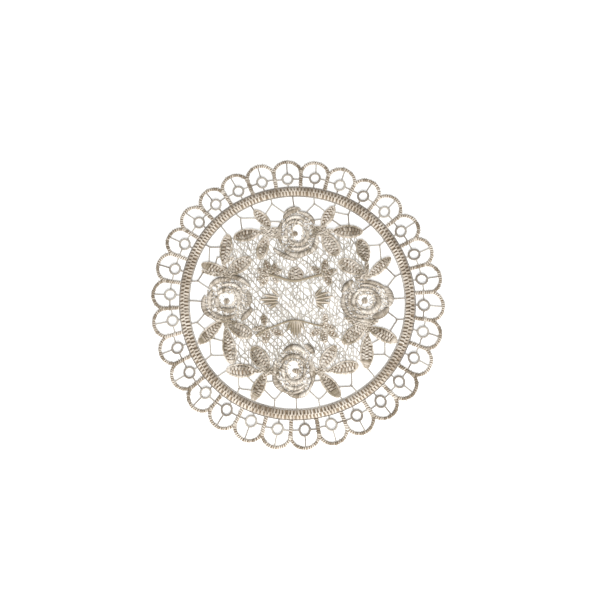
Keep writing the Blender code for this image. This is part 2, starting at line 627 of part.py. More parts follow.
def relief_points(strands, loops):
    """Points inside the plan that carry the relief: along each crest, and along the low lines beside it."""
    crests, edges = [], []
    for strand in strands:
        if strand.height in RAISED and strand.halves.max() > NARROWEST_CREST / 2:
            crests.extend(strand.path)
            if strand.height is LEAF:
                left, right = edges_of(strand)
                edges.extend(np.vstack((left[1:-1:2], right[1:-1:2])))
    points = np.vstack((crests, rose_valleys(strands), edges))
    points = points[inside(points, loops)]
    for loop in loops:
        points = points[to_segments(points, loop, True)[0].min(1) > RELIEF_MARGIN]
    kept = [points[0]]
    for point in points[1:]:
        if np.linalg.norm(np.array(kept) - point, axis=1).min() > RELIEF_SPACING:
            kept.append(point)
    return kept


# --- The sheet --------------------------------------------------------------------------------------------

def triangles_of(loops, extra):
    """Plan points and triangles of the area inside the first outline and outside the others."""
    points, edges = [], []
    for loop in loops:
        start = len(points)
        points.extend(loop)
        edges.extend((start + i, start + (i + 1) % len(loop)) for i in range(len(loop)))
    points.extend(extra)
    found = delaunay_2d_cdt([Vector(p) for p in points], edges, [], 0, 1e-5, False)
    plan, triangles = np.array([p[:] for p in found[0]]), np.array(found[2])
    within = inside(plan[triangles].mean(1), loops)
    return plan, triangles[within].tolist()


def sheet(name, strands):
    """The closed sheet: a flat underside, upright sides round every gap, and a top face with relief."""
    loops = [thinned(loop) for loop in outlines(strands)]
    mesh = bmesh.new()
    top_points, top_faces = triangles_of(loops, relief_points(strands, loops))
    base_points, base_faces = triangles_of(loops, [])
    rise = heights(top_points, strands)
    top = [mesh.verts.new((x * MM, y * MM, z * MM)) for (x, y), z in zip(top_points, rise)]
    base = [mesh.verts.new((x * MM, y * MM, 0.0)) for x, y in base_points]
    for face in top_faces:
        mesh.faces.new([top[i] for i in face])
    for face in base_faces:
        mesh.faces.new([base[i] for i in reversed(face)])
    start = 0
    for loop in loops:
        count = len(loop)
        for i in range(count):
            a, b = start + i, start + (i + 1) % count
            mesh.faces.new((top[a], base[a], base[b], top[b]))
        start += count
    bmesh.ops.recalc_face_normals(mesh, faces=mesh.faces)
    data = bpy.data.meshes.new(name)
    mesh.to_mesh(data)
    mesh.free()
    part = bpy.data.objects.new(name, data)
    bpy.context.scene.collection.objects.link(part)
    return part


def lace_thread():
    """Beige lace thread with a soft sheen."""
    material = bpy.data.materials.new("lace_thread")
    material.use_nodes = True
    shader = material.node_tree.nodes["Principled BSDF"]
    shader.inputs["Base Color"].default_value = THREAD_COLOUR
    shader.inputs["Roughness"].default_value = THREAD_ROUGHNESS
    shader.inputs["Metallic"].default_value = 0.0
    return material


def build():
    """Clears the scene and makes the doily."""
    for old in list(bpy.data.objects):
        bpy.data.objects.remove(old, do_unlink=True)
    doily = sheet("doily", lace())
    doily.data.materials.append(lace_thread())


build()
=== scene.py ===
"""Lace doily laid flat, seen from above in soft light.

Everything is thread. A column of stitches is a row of short threads laid side by side over a padded underlay;
a bar, a spoke or a strand of the net is a cord of two twisted plies. The plan is in millimetres about the
doily's middle, +Z up from the surface, and becomes metres when a piece's mesh is made.
"""
from collections import namedtuple
from math import degrees, pi, radians, sin

import bpy
import numpy as np
from mathutils import Matrix, Vector


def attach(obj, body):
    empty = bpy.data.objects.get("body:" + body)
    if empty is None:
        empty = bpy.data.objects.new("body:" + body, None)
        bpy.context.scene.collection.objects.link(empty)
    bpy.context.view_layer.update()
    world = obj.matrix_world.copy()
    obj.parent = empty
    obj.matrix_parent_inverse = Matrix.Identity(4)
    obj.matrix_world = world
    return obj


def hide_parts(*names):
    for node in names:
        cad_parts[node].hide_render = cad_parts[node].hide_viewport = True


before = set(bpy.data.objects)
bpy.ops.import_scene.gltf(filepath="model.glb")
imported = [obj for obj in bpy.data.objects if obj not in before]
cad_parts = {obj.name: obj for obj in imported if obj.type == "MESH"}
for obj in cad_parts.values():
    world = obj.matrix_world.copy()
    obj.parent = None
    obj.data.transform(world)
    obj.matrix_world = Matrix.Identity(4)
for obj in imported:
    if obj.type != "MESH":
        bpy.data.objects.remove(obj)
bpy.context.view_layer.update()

MM = 0.001
UP = np.array((0.0, 0.0, 1.0))
PHASES = 6.0  # range of a random phase, radians: nearly a whole turn
chance = np.random.default_rng(20)

# --- Threads, mm --------------------------------------------------------------------------------------------

THREAD = 0.4  # width of one stitch's thread, drawn coarser than real so that it shows
THREAD_STEP = 0.92  # between neighbours in a group, in widths of a thread, so that they touch
THREAD_HEIGHT = 0.8  # as a share of its width
THREAD_TAPER = 0.2  # how much thinner a thread is at its ends, as a share
THREAD_STRAY = 0.04  # up or down
GROUP_STRAY = 0.07  # along its column, as a share of the pitch
CORD_HEIGHT = 0.85  # as a share of its width
PADDING_WIDTH = 0.86  # as a share of its column's
PADDING_HEIGHTS = (0.7, 0.5)  # shares of the crown and the base of its column that add up to its height
PADDING_MIDDLE = 0.15  # height of its middle line
PADDING_INSET = 0.9  # half width of its tube, as a share of half its width
NARROWEST = 0.05  # least share of a column's width that its height heeds
ROUTE_STEP = 0.8  # between points along an arch or a branch
PLY_COUNT = 2  # twisted together in every thread
PLY_TWIST = 1.4  # length of one whole turn of a thread's plies

# How each kind of stitch is laid: the heights of its crown and base, the pitch between groups of threads
# (coarser than real, so that they show), the slant of a thread along its column, how ragged its ends are, the
# threads in a group and their width, the points along a thread, how far a group parts at its ends, and its
# shade, where more is paler, which on the petals is painted sheen or painted shade
Stitch = namedtuple("Stitch", "crown base pitch slant ragged strands thread rings spread shade",
                    defaults=(0.1, 2, THREAD, 5, 0.0, 1.0))
ARCH_STITCH = Stitch(0.6, 0.3, 1.5, 0.5, 0.25)
LEG_STITCH = Stitch(0.6, 0.3, 1.5, 0.9, 0.25)
PETAL_STITCH = Stitch(0.5, 0.4, 0.86, 1.2)
STAMEN_STITCH = Stitch(0.8, 0.3, 1.2, 0.0, shade=0.6)
LEAF_EDGE_STITCH = Stitch(0.55, 0.5, 0.86, 0.6, rings=4, shade=0.9)
LEAF_TIP_STITCH = Stitch(0.5, 0.5, 0.86, 0.8, rings=4, shade=0.8)
OPEN_STITCH = Stitch(0.3, 0.8, 2.15, 0.5, 0.12, 3, 0.36, 4, 0.6)
BRANCH_STITCH = Stitch(0.5, 0.4, 1.1, 0.9)
SWELL_STITCH = Stitch(0.6, 0.3, 1.5, 0.5)
SPRIG_STITCH = Stitch(0.4, 0.5, 1.1, 0.6)

# How a cord's two plies show: how far they swell it, as a share of its half width, and the length of one turn
Plies = namedtuple("Plies", "lobe twist")
SMOOTH = Plies(0.0, 1.0)
CORD_PLIES = Plies(0.16, 1.3)
RING_PLIES = Plies(0.14, 1.7)
BAND_PLIES = Plies(0.16, 1.5)
WEB_PLIES = Plies(0.14, 1.1)
STEM_PLIES = Plies(0.1, 2.0)
FINGER_PLIES = Plies(0.1, 2.2)

# Knots: width and height
RING_KNOT = (1.8, 1.2)
SMALL_KNOT = (1.0, 0.9)  # in the webs and on the branches
SPRIG_KNOT = (1.1, 0.9)
BAR_KNOT = (1.4, 1.1)

# --- The border and the band, mm ----------------------------------------------------------------------------

SCALLOPS = 30
FIRST_SCALLOP_ANGLE = -2.43  # degrees from +X
APEX_RADIUS = 98.9  # middle of the cord at a scallop's top
ARCH_FOOT_RADIUS = 90.4
ARCH_POWER = 1.1
ARCH_WIDTH = 2.6
ARCH_SWING = 0.3  # how far its width drifts, as a share
LEG_WIDTH = 3.0
LEG_OVERLAP = (0.2, 2.6)  # how far a leg runs on under the band's cord, and up between two arches
LEG_STEP = 1.0
RING_CENTRE_RADIUS = 86.75
RING_RADIUS = 3.45
RING_STRETCH = 1.05  # its reach along the border's radius, as a share of its reach across
RING_OVAL = 0.03  # how far it is pulled out of round, as a share
RING_CORD = 1.4
RING_WANDER = (0.45, 0.3)  # how far a small ring strays, along its radius and across it
SPOKE_CORD = 0.85
SPOKE_START = 1.06  # in radii of its ring
SPOKE_BEND = 0.12  # how far it bows
APEX_SPOKE_SHORT = 0.4  # how far below the arch's middle its spoke ends
SIDE_SPOKE_RISE = 0.2  # how much further out than its ring a side spoke meets the leg
BAND_RADIUS = 76.9
BAND_INNER_CORD = 73.35
BAND_OUTER_CORD = 80.35
BAND_EDGE_CORD = 0.6
BAND_EDGE = 0.2  # between the middle of an edge cord and the ends of the stitches
BAND_STITCH_PITCH = 2.36
BAND_BASE = 0.45
BAND_CROWN = 1.4
BAND_PADDING_DROP = 0.8  # from the stitches' crown to the padding's
BAND_ARM_GAP = 0.22  # between the threads of a V, at its point
BAND_ARM_SPREAD = (0.05, 0.14)  # least, and the range above it, at its open end, as a share of the pitch
BAND_LOCK = 0.35  # how far a V's point reaches past the band's middle
BAND_LEAN = 0.3  # how far its open end leans along the band, and how much that varies
BAND_STRAYS = (0.14, 0.1, 0.06)  # along the band, across it at the open end, and up
BAND_THREAD = (0.21, 0.05, 0.2)  # half width, what is added towards the open end, and half height
BAND_TONE = (0.15, 0.8)  # least, and the range above it
BAND_DRIFTS = ((12, 0.6), (9, 0.8))  # of its tone and its spread: neighbours in step, and the steady share
BAND_POINT = 0.07  # share of a V's length, from its point, that lies level

# The border is laid a little unevenly: waves in a turn, size in mm and phase in degrees, outwards and round
Wave = namedtuple("Wave", "waves size phase")
OUTWARD_WAVES = (Wave(2, 0.30, 49), Wave(3, 0.30, 8), Wave(4, 0.25, 159))
ROUND_WAVES = (Wave(1, 0.45, 180), Wave(2, 0.39, -166), Wave(3, 0.27, 42), Wave(4, 0.21, -84))
WAVE_POWER = 1.5  # how fast the waves grow outwards

# --- The middle, mm -----------------------------------------------------------------------------------------

PETAL_FULLNESS = 1.22  # width of its stitches, as a share of the row's
PETAL_RIM = 0.8  # how much wider its padding is, so that a dark rim of painted shade, standing for a shadow line, shows round it
PETAL_PADDING = (0.55, 0.2)  # height and base
PETAL_CROWN_RISE = 0.34  # added to its crown for each mm of the row's width
STAMEN_STEP = 0.3
WEB_INSET = 0.6  # from a rose's edge
WEB_SPOKES = 28
WEB_SPOKE = (0.26, 0.22)  # half width and half height
WEB_SPOKE_HEIGHT = 0.35
WEB_START = (-0.4, 0.3)  # where an uneven spoke starts, as a share of the way from the eye's edge outwards
WEB_DEEPEST = -0.3  # none starts further into the eye
WEB_STRAYS = (0.15, 0.3)  # of a spoke and of a knot round the eye, as a share of their pitch
WEB_UNEVEN = 0.4  # share of the spokes that are uneven
WEB_SWAY = (0.10, 9)  # how far a spoke sways, radians, and the radians of wave along it
WEB_HEIGHT = 0.5
EYE_CORD = 0.7
EYE_CORD_SWAY = 0.03
WEB_RINGS = 8
WEB_OUTERMOST = 0.95  # place of the last ring, as a share of the way from the eye's edge to the rose's
WEB_CORD = 0.9
WEB_SPACE = (2.0, 4.5)  # least and most between two dashes of a ring
WEB_DASH = (0.5, 1.3)  # least and most length of a dash
WEB_MOST_DASHES = 60
WEB_ASKEW = 0.03  # how far a dash's ends lie in and out, and how much that varies, as a share
WEB_KNOT_PITCH = 2.3
WEB_KNOT_SHIFT = 0.08  # outwards from its ring, as a share of the same way

LEAF_PADDING = (0.96, 0.35)  # width as a share of the leaf's, and height
LEAF_EDGE_FULLNESS = 1.1
LEAF_EDGE_TAPER = (1.4, 0.35)  # how fast the edges reach their full width, and their least, as a share
LEAF_TIP_WIDTH = 0.9  # as a share of the leaf's
OPEN_ROW = 2.7  # width of an open row
OPEN_ROW_OVERLAP = 0.2

BRANCH_PADDING = (2.4, 0.25)  # width and height
BRANCH_STRAND = 0.9
BRANCH_SWING = 1.2  # how far a strand swings to each side
BRANCH_WAVE = 7.5
BRANCH_PHASE = 0.37  # of a wave, between one branch and the next
BRANCH_LIFT = 0.3  # of each strand over the one before
STEM_WIDTHS = (1.7, 1.25)
STEM_HEIGHT = 0.9
SPRIG_PADDING = (0.94, 0.4)
SPRIG_EDGE = 1.0
SPRIG_LANE = 0.16  # from the middle line to a row of knots, as a share of the leaf's width
SPRIG_KNOT_PITCH = 1.7
SPRIG_KNOT_STRAY = 0.18
# A finger's strands: side, width and tone; a pale one lies between two dark ones
FINGER_STRANDS = ((-1, 0.55, 0.1), (0, 1.0, 0.42), (1, 0.55, 0.1))
FINGER_INSET = 0.5
FINGER_PADDING = 0.45
FINGER_HEIGHTS = (0.95, 0.25)  # of the middle strand, and how much lower those beside it lie

NET_CORD = 0.68
NET_STRAND_RANGE = (0.8, 1.3)  # width of a long strand, as a share of the cord's
NET_CROSSING = 0.9  # width of a short strand, as a share of the cord's
NET_PITCH = 3.3
NET_ANGLE = -47.0  # degrees, the way that its long strands run
NET_UPRIGHT = 84.0  # degrees, the way that most of its short strands run
NET_STEP = 3.1  # between knots on a long strand
NET_WANDER = 0.45
NET_HEIGHTS = (0.35, 0.3)  # of its long strands and its short ones
NET_REACH = 24  # knots each way from the middle
# Short strands: how many knots further on one ends, and the share of them that there are
NET_LINKS = ((0, 0.85), (1, 0.6), (-1, 0.15))
STRAND_BEND = 0.15  # how far a short strand of the net, or a bar, bows
BAR_CORD = 0.88
BAR_HEIGHT = 0.45

# --- Tables of the motifs, mm and degrees -------------------------------------------------------------------

# A rose and its eye are ovals, given by half their width and height; the stamen is a short thick stitch
# across the eye
Rose = namedtuple("Rose", "x y reach_x reach_y eye_x eye_y eye_reach_x eye_reach_y")
ROSES = {
    "north": Rose(0.0, 47.0, 12.6, 15.8, 1.0, 46.6, 3.6, 6.2),
    "east": Rose(47.0, 0.0, 16.4, 13.6, 46.9, -0.8, 5.4, 4.4),
    "south": Rose(-1.0, -47.0, 12.8, 15.8, -2.0, -46.8, 3.9, 5.8),
    "west": Rose(-46.5, 0.0, 16.2, 13.6, -47.4, 0.6, 5.6, 4.2),
}
Stamen = namedtuple("Stamen", "x1 y1 x2 y2 width")
STAMENS = {
    "north": Stamen(-2.8, 46.2, 1.0, 46.8, 4.6),
    "east": Stamen(44.2, -0.8, 48.6, -0.2, 5.0),
    "south": Stamen(-2.8, -47.4, 3.4, -48.0, 4.0),
    "west": Stamen(-49.8, -0.6, -45.4, -0.6, 4.6),
}

# A petal is a crescent about its rose's middle: two angles, the radius at its start, middle and end, a width
# and how pale its thread looks, painted into its colour: a painted sheen on rows whose satin faces the light,
# painted shade on rows whose satin lies away from it
PAINTED_SHEEN, PAINTED_SHADE = 1.5, 0.4
Petal = namedtuple("Petal", "start end r_start r_middle r_end width light", defaults=(0.85,))
PETALS = {
    "north": (
        Petal(150, 50, 8.2, 8.2, 6.8, 2.0, PAINTED_SHEEN),
        Petal(152, 42, 10.5, 11.2, 10.2, 2.2, PAINTED_SHEEN),
        Petal(84, 26, 14.6, 14.6, 13.8, 2.4),
        Petal(131, 82, 13.6, 15.3, 16.8, 2.8, PAINTED_SHADE),
        Petal(122, 80, 15.6, 17.4, 16.8, 1.8),
        Petal(24, -142, 6.8, 8.4, 6.8, 2.6),
        Petal(156, 214, 7.2, 7.3, 7.4, 2.0, PAINTED_SHEEN),
        Petal(-118, -42, 11.2, 11.7, 12.4, 2.0, PAINTED_SHEEN),
        Petal(-124, -50, 14.2, 16.0, 14.6, 3.2),
        Petal(-145, -90, 19.4, 18.2, 19.0, 2.4),
        Petal(-8, -62, 14.0, 15.8, 17.2, 3.0, PAINTED_SHEEN),
        Petal(146, 216, 12.6, 11.8, 13.0, 2.4, PAINTED_SHADE),
    ),
    "east": (
        Petal(48, -128, 7.3, 9.0, 7.0, 3.2),
        Petal(122, 236, 6.8, 8.3, 8.6, 2.4, PAINTED_SHEEN),
        Petal(134, 50, 8.6, 7.2, 7.6, 2.0, PAINTED_SHEEN),
        Petal(36, -16, 15.2, 16.8, 16.2, 3.8),
        Petal(112, 38, 10.4, 10.2, 11.4, 1.6),
        Petal(106, 34, 13.0, 12.6, 15.4, 2.2, PAINTED_SHADE),
        Petal(162, 122, 16.4, 16.0, 15.6, 3.2),
        Petal(166, 230, 15.2, 15.4, 15.2, 2.8),
        Petal(150, 206, 11.4, 11.2, 11.2, 1.8, PAINTED_SHEEN),
        Petal(-138, -82, 11.8, 11.6, 10.8, 2.0, PAINTED_SHADE),
        Petal(-132, -58, 15.6, 14.4, 15.6, 2.2),
        Petal(-70, -18, 12.6, 14.4, 16.2, 3.8, PAINTED_SHADE),
    ),
    "south": (
        Petal(152, 38, 10.0, 9.4, 8.2, 2.6),
        Petal(40, -36, 7.2, 6.8, 6.8, 1.8),
        Petal(-32, -150, 7.0, 8.2, 6.8, 2.8),
        Petal(146, 214, 8.0, 7.8, 8.2, 2.6, PAINTED_SHEEN),
        Petal(-122, -56, 11.4, 12.4, 11.6, 2.2, PAINTED_SHEEN),
        Petal(-122, -58, 15.6, 15.0, 12.8, 1.8),
        Petal(-108, -50, 15.6, 17.2, 15.8, 2.8),
        Petal(190, 248, 13.8, 15.0, 15.4, 3.2),
        Petal(152, 196, 14.0, 13.4, 13.2, 2.2, PAINTED_SHEEN),
        Petal(118, 60, 14.2, 15.2, 13.0, 3.2),
        Petal(68, 40, 17.8, 17.4, 16.4, 3.2),
        Petal(34, -24, 12.0, 11.2, 12.2, 2.4),
        Petal(24, -58, 13.0, 13.2, 16.4, 1.8),
    ),
    "west": (
        Petal(152, 78, 8.4, 8.0, 7.4, 2.4, PAINTED_SHEEN),
        Petal(66, -32, 8.4, 7.6, 7.6, 2.8),
        Petal(-128, -44, 6.6, 6.9, 7.6, 2.8, PAINTED_SHADE),
        Petal(158, 240, 7.8, 8.0, 7.8, 2.4),
        Petal(116, 24, 10.8, 11.2, 10.6, 2.2, PAINTED_SHEEN),
        Petal(146, 206, 13.0, 13.0, 13.2, 2.6),
        Petal(-148, -62, 13.6, 12.2, 11.0, 2.4, PAINTED_SHADE),
        Petal(146, 84, 15.6, 15.4, 13.4, 3.0),
        Petal(92, 32, 16.4, 16.6, 17.4, 2.8),
        Petal(26, -16, 14.2, 14.6, 14.4, 2.8),
        Petal(-18, -56, 17.2, 16.2, 16.4, 3.2, PAINTED_SHADE),
        Petal(168, 230, 16.0, 17.2, 15.2, 2.8),
        Petal(-140, -78, 16.2, 14.8, 14.4, 1.8),
    ),
}

# A leaf runs from its base to its tip; belly, the widest place, and tip, the solid end, are shares of its
# length; left and right are the widths of its satin edges, seen from its base
Leaf = namedtuple("Leaf", "base_x base_y tip_x tip_y width left right belly tip",
                  defaults=(1.1, 1.1, 0.5, 0.1))
LEAVES = (
    # upper left
    Leaf(-18.0, 51.6, -29.4, 63.0, 7.6, 1.0, 1.5, 0.52, 0.12),
    Leaf(-25.6, 47.4, -43.4, 43.6, 9.0, 1.9, 0.9, 0.52, 0.10),
    Leaf(-20.5, 45.5, -25.4, 28.6, 8.6, 1.8, 1.8, 0.56, 0.18),
    Leaf(-50.2, 25.6, -47.2, 46.0, 8.8, 1.0, 1.2, 0.55, 0.16),
    Leaf(-46.8, 18.6, -31.2, 29.2, 10.2, 0.9, 2.2, 0.52, 0.12),
    Leaf(-48.0, 19.0, -65.4, 25.0, 7.6, 1.0, 1.0, 0.56, 0.30),
    # upper right
    Leaf(18.0, 51.0, 26.2, 65.6, 7.8, 1.0, 2.2, 0.5, 0.10),
    Leaf(25.6, 47.8, 45.8, 47.2, 9.4, 1.1, 1.8, 0.5, 0.12),
    Leaf(18.2, 47.0, 28.6, 30.8, 11.0, 1.8, 1.2, 0.56, 0.16),
    Leaf(48.4, 26.0, 43.6, 42.0, 9.4, 1.1, 1.2, 0.55, 0.08),
    Leaf(46.6, 18.4, 29.0, 26.6, 10.4, 1.3, 1.0, 0.6, 0.14),
    Leaf(49.6, 15.6, 64.6, 29.2, 7.4, 0.9, 1.9, 0.52, 0.12),
    # lower left
    Leaf(-50.2, -14.0, -66.0, -29.7, 8.2, 1.3, 1.0, 0.54, 0.26),
    Leaf(-48.0, -17.0, -43.2, -43.0, 9.4, 0.9, 1.1, 0.66, 0.12),
    Leaf(-46.0, -16.6, -30.2, -24.6, 9.8, 1.0, 1.8, 0.56, 0.12),
    Leaf(-26.8, -48.0, -46.8, -47.2, 9.6, 1.8, 1.0, 0.52, 0.14),
    Leaf(-18.4, -46.2, -29.8, -32.0, 11.0, 1.0, 1.0, 0.54, 0.14),
    Leaf(-20.4, -49.0, -28.8, -67.0, 8.6, 1.2, 1.3, 0.55, 0.26),
    # lower right
    Leaf(46.7, -17.3, 31.0, -29.4, 10.0, 1.8, 0.9, 0.5, 0.16),
    Leaf(48.0, -18.6, 67.6, -28.4, 9.0, 1.0, 1.9, 0.58, 0.18),
    Leaf(47.6, -24.0, 46.8, -46.2, 9.2, 1.0, 1.0, 0.55, 0.26),
    Leaf(22.6, -47.4, 41.6, -44.0, 9.4, 1.0, 1.8, 0.56, 0.14),
    Leaf(16.4, -45.8, 26.4, -31.0, 8.8, 1.1, 1.4, 0.5, 0.18),
    Leaf(15.8, -49.6, 29.0, -64.8, 8.8, 1.0, 1.8, 0.54, 0.3),
)

SPRIG_LEAVES = (
    # upper left, upper right
    Leaf(-17.2, 18.4, -26.6, 20.8, 5.0),
    Leaf(-17.6, 17.2, -27.0, 14.4, 5.0),
    Leaf(-19.4, 15.8, -24.4, 9.8, 4.6),
    Leaf(-19.0, 19.2, -21.2, 27.4, 5.4),
    Leaf(-17.2, 18.2, -10.0, 20.6, 5.2),
    Leaf(-16.4, 19.0, -14.2, 25.4, 4.4),
    Leaf(-16.2, 17.4, -12.6, 11.6, 3.6),
    Leaf(16.0, 16.6, 27.8, 20.6, 4.8),
    Leaf(20.8, 17.4, 22.6, 10.0, 5.8),
    Leaf(17.6, 18.0, 10.0, 22.8, 4.8),
    Leaf(18.8, 18.8, 20.2, 27.8, 5.2),
    # lower left, lower right
    Leaf(-16.8, -18.6, -27.4, -24.6, 4.0),
    Leaf(-19.8, -20.2, -20.8, -29.2, 6.6),
    Leaf(-17.0, -20.8, -8.6, -23.4, 5.0),
    Leaf(-21.2, -17.4, -22.2, -10.0, 4.6),
    Leaf(-21.0, -18.6, -29.4, -19.8, 3.8),
    Leaf(15.6, -16.6, 26.6, -19.8, 4.8),
    Leaf(16.4, -20.4, 8.8, -23.8, 5.0),
    Leaf(18.2, -19.8, 19.6, -29.0, 5.2),
    Leaf(19.8, -16.8, 19.4, -9.2, 4.2),
    Leaf(20.6, -20.6, 28.4, -25.4, 4.6),
)

# Fingers of long threads: the fans left and right of the middle, and the lower cup
FINGERS = (
    Leaf(-12.2, 3.2, -17.0, 7.4, 2.4),
    Leaf(-12.4, 1.8, -21.6, 3.4, 2.4),
    Leaf(-12.4, 0.6, -25.2, 0.2, 2.6),
    Leaf(-12.6, -1.2, -23.0, -2.4, 2.6),
    Leaf(-12.8, -2.6, -18.6, -5.2, 2.2),
    Leaf(12.8, 2.8, 17.0, 7.8, 2.4),
    Leaf(13.0, 2.0, 21.8, 5.2, 2.6),
    Leaf(13.0, 0.4, 24.6, 2.4, 2.6),
    Leaf(13.2, -1.2, 23.0, -2.0, 2.6),
    Leaf(13.4, -2.4, 18.8, -5.8, 2.6),
    Leaf(-3.2, -14.4, -6.0, -20.6, 2.2),
    Leaf(-1.9, -14.0, -3.4, -23.0, 2.2),
    Leaf(-0.9, -13.8, -1.4, -25.6, 2.2),
    Leaf(0.5, -13.8, 0.8, -25.4, 2.2),
    Leaf(1.7, -14.0, 2.9, -22.8, 2.2),
    Leaf(2.9, -14.4, 5.4, -20.4, 2.2),
)

# The upper cup is filled like a leaf; under each cup its stem swells
CUP = Leaf(-0.5, 13.0, -0.2, 22.6, 10.8, 1.0, 1.0, 0.46, 0.04)
SWELLS = (Leaf(-7.0, 14.6, 6.0, 14.9, 3.4), Leaf(-6.4, -14.2, 5.4, -14.4, 2.6))

# Routes of the branches that the leaves stand on, and of the two stems
BRANCHES = (
    ((-10.5, 46.8), (-18.0, 46.8), (-27.0, 47.0)),
    ((-10.5, 50.0), (-17.0, 49.0), (-25.0, 50.4)),
    ((-9.5, 43.6), (-15.0, 44.6), (-22.0, 44.2)),
    ((11.0, 47.6), (18.0, 48.2), (26.0, 48.0)),
    ((10.5, 50.6), (15.0, 50.0), (20.5, 50.8)),
    ((10.5, 44.4), (15.0, 45.4), (20.0, 45.8)),
    ((-46.0, 14.0), (-47.6, 17.4), (-50.6, 27.0)),
    ((-64.6, 20.6), (-58.0, 18.1), (-49.5, 17.4), (-41.0, 17.4)),
    ((-50.0, 26.0), (-47.0, 27.4), (-43.0, 30.0)),
    ((46.6, 13.0), (48.2, 16.6), (48.2, 25.5)),
    ((40.0, 14.4), (45.0, 16.4), (50.6, 15.8)),
    ((-46.8, -12.0), (-47.4, -14.5), (-47.8, -18.0)),
    ((-54.0, -12.6), (-47.0, -14.6), (-40.0, -15.4)),
    ((47.0, -13.0), (47.6, -18.0), (47.8, -24.5)),
    ((33.0, -11.5), (38.0, -15.6), (45.0, -17.4)),
    ((55.0, -14.2), (50.5, -16.4), (46.5, -17.0)),
    ((-11.5, -46.4), (-18.0, -47.2), (-28.0, -48.0)),
    ((-11.5, -49.6), (-15.0, -49.0), (-21.0, -49.6)),
    ((10.5, -46.4), (16.0, -47.4), (23.5, -47.6)),
    ((10.0, -49.4), (14.0, -49.2), (18.5, -50.6)),
)

STEMS = (
    ((-18.5, 17.4), (-11.3, 15.6), (-6.7, 13.8), (-0.5, 12.9), (6.7, 14.6), (11.3, 16.0), (17.5, 17.6)),
    ((-27.0, -24.0), (-18.5, -19.4), (-11.3, -16.4), (-6.2, -14.8), (-0.5, -13.8), (5.6, -14.9),
     (11.3, -16.6), (16.5, -17.8)),
)

# Bars between the band and the motifs: routes of two or three points
BARS = (
    # top, going left
    ((-2.7, 73.6), (-1.4, 64.5)),
    ((-17.9, 72.0), (-17.0, 67.4), (-7.5, 60.5)),
    ((-17.0, 67.4), (-22.4, 58.6)),
    ((-32.0, 67.0), (-28.5, 61.5)),
    ((-42.8, 61.0), (-38.8, 57.4), (-25.8, 57.4)),
    ((-38.8, 57.4), (-37.6, 48.6)),
    ((-53.0, 52.6), (-47.6, 45.4)),
    ((-19.0, 54.9), (-9.0, 54.6)),
    ((-63.4, 38.8), (-60.0, 37.0), (-50.5, 37.2)),
    ((-60.0, 37.0), (-60.2, 25.0)),
    ((-56.0, 23.4), (-54.6, 29.7), (-49.5, 30.8)),
    ((-72.5, 13.3), (-67.6, 13.3), (-62.2, 23.0)),
    ((-67.6, 13.3), (-59.0, 7.6)),
    ((-73.8, -0.4), (-64.0, -1.0)),
    # top, going right
    ((12.2, 73.0), (12.7, 67.2), (6.0, 60.5)),
    ((12.7, 67.2), (21.0, 60.8)),
    ((10.5, 55.4), (19.5, 56.5)),
    ((26.4, 65.0), (27.6, 69.0)),
    ((25.5, 61.6), (36.0, 59.2), (37.8, 63.6)),
    ((36.0, 59.2), (36.6, 50.0)),
    ((22.5, 57.5), (33.5, 49.6)),
    ((44.5, 46.8), (52.0, 52.5)),
    ((61.2, 41.4), (57.3, 37.7), (45.5, 37.0)),
    ((57.3, 37.7), (58.0, 25.4)),
    ((71.6, 17.6), (67.3, 15.6), (60.5, 22.6)),
    ((67.3, 15.6), (60.5, 7.0)),
    ((64.0, 0.5), (73.8, 1.0)),
    # bottom, going left
    ((-71.6, -16.4), (-67.3, -15.4), (-61.5, -8.2)),
    ((-67.3, -15.4), (-59.4, -22.0)),
    ((-60.6, -25.8), (-55.3, -26.2), (-48.0, -28.0)),
    ((-58.4, -26.0), (-57.5, -37.8), (-46.8, -37.4)),
    ((-57.5, -37.8), (-61.4, -40.8)),
    ((-46.0, -47.4), (-52.8, -51.8)),
    ((-38.4, -50.4), (-38.1, -59.7), (-27.4, -61.0)),
    ((-38.1, -59.7), (-39.2, -62.8)),
    ((-33.2, -51.0), (-26.4, -57.2)),
    ((-21.9, -59.8), (-14.2, -67.2), (-9.0, -61.0)),
    ((-14.2, -67.2), (-14.4, -72.6)),
    ((-22.6, -55.5), (-14.4, -54.6)),
    ((0.0, -64.2), (0.4, -73.6)),
    # bottom, going right
    ((8.9, -61.2), (15.0, -67.0), (21.6, -60.2)),
    ((15.0, -67.0), (15.8, -72.4)),
    ((9.4, -54.6), (18.1, -54.0)),
    ((28.6, -63.6), (31.0, -67.4)),
    ((26.4, -58.6), (37.0, -58.0), (36.8, -46.0)),
    ((37.0, -58.0), (40.4, -61.8)),
    ((46.9, -45.8), (52.2, -52.2)),
    ((59.6, -26.9), (59.4, -37.2), (49.0, -37.2)),
    ((59.4, -37.2), (63.6, -39.8)),
    ((48.9, -30.6), (56.5, -26.4)),
    ((59.9, -7.2), (68.3, -13.6), (62.8, -21.8)),
    ((68.3, -13.6), (73.0, -13.1)),
)

# Edge of the net, which runs on under the roses, branches and leaves
NET_EDGE = (
    (0.0, 38.0), (-8.0, 41.0), (-12.5, 47.4), (-26.0, 48.0), (-42.5, 43.9), (-47.2, 43.0), (-49.6, 27.0),
    (-47.6, 18.5), (-47.0, 13.0), (-40.5, 8.0), (-38.5, 0.0), (-40.5, -8.0), (-46.8, -13.0), (-47.4, -17.0),
    (-45.4, -28.0), (-43.6, -40.5), (-44.0, -47.3), (-28.5, -48.0), (-13.0, -47.2), (-8.5, -42.0),
    (-1.0, -38.5), (7.0, -41.0), (11.0, -47.0), (23.5, -47.1), (40.0, -43.7), (43.4, -42.0), (46.8, -40.0),
    (47.4, -23.0), (47.0, -13.0), (41.0, -8.0), (38.5, 0.0), (41.0, 8.0), (47.0, 13.0), (47.8, 18.5),
    (45.4, 29.0), (43.0, 39.5), (41.2, 44.0), (39.5, 47.2), (27.0, 48.0), (12.5, 47.7), (8.0, 41.0),
)

# --- Meshes from whole arrays -------------------------------------------------------------------------------


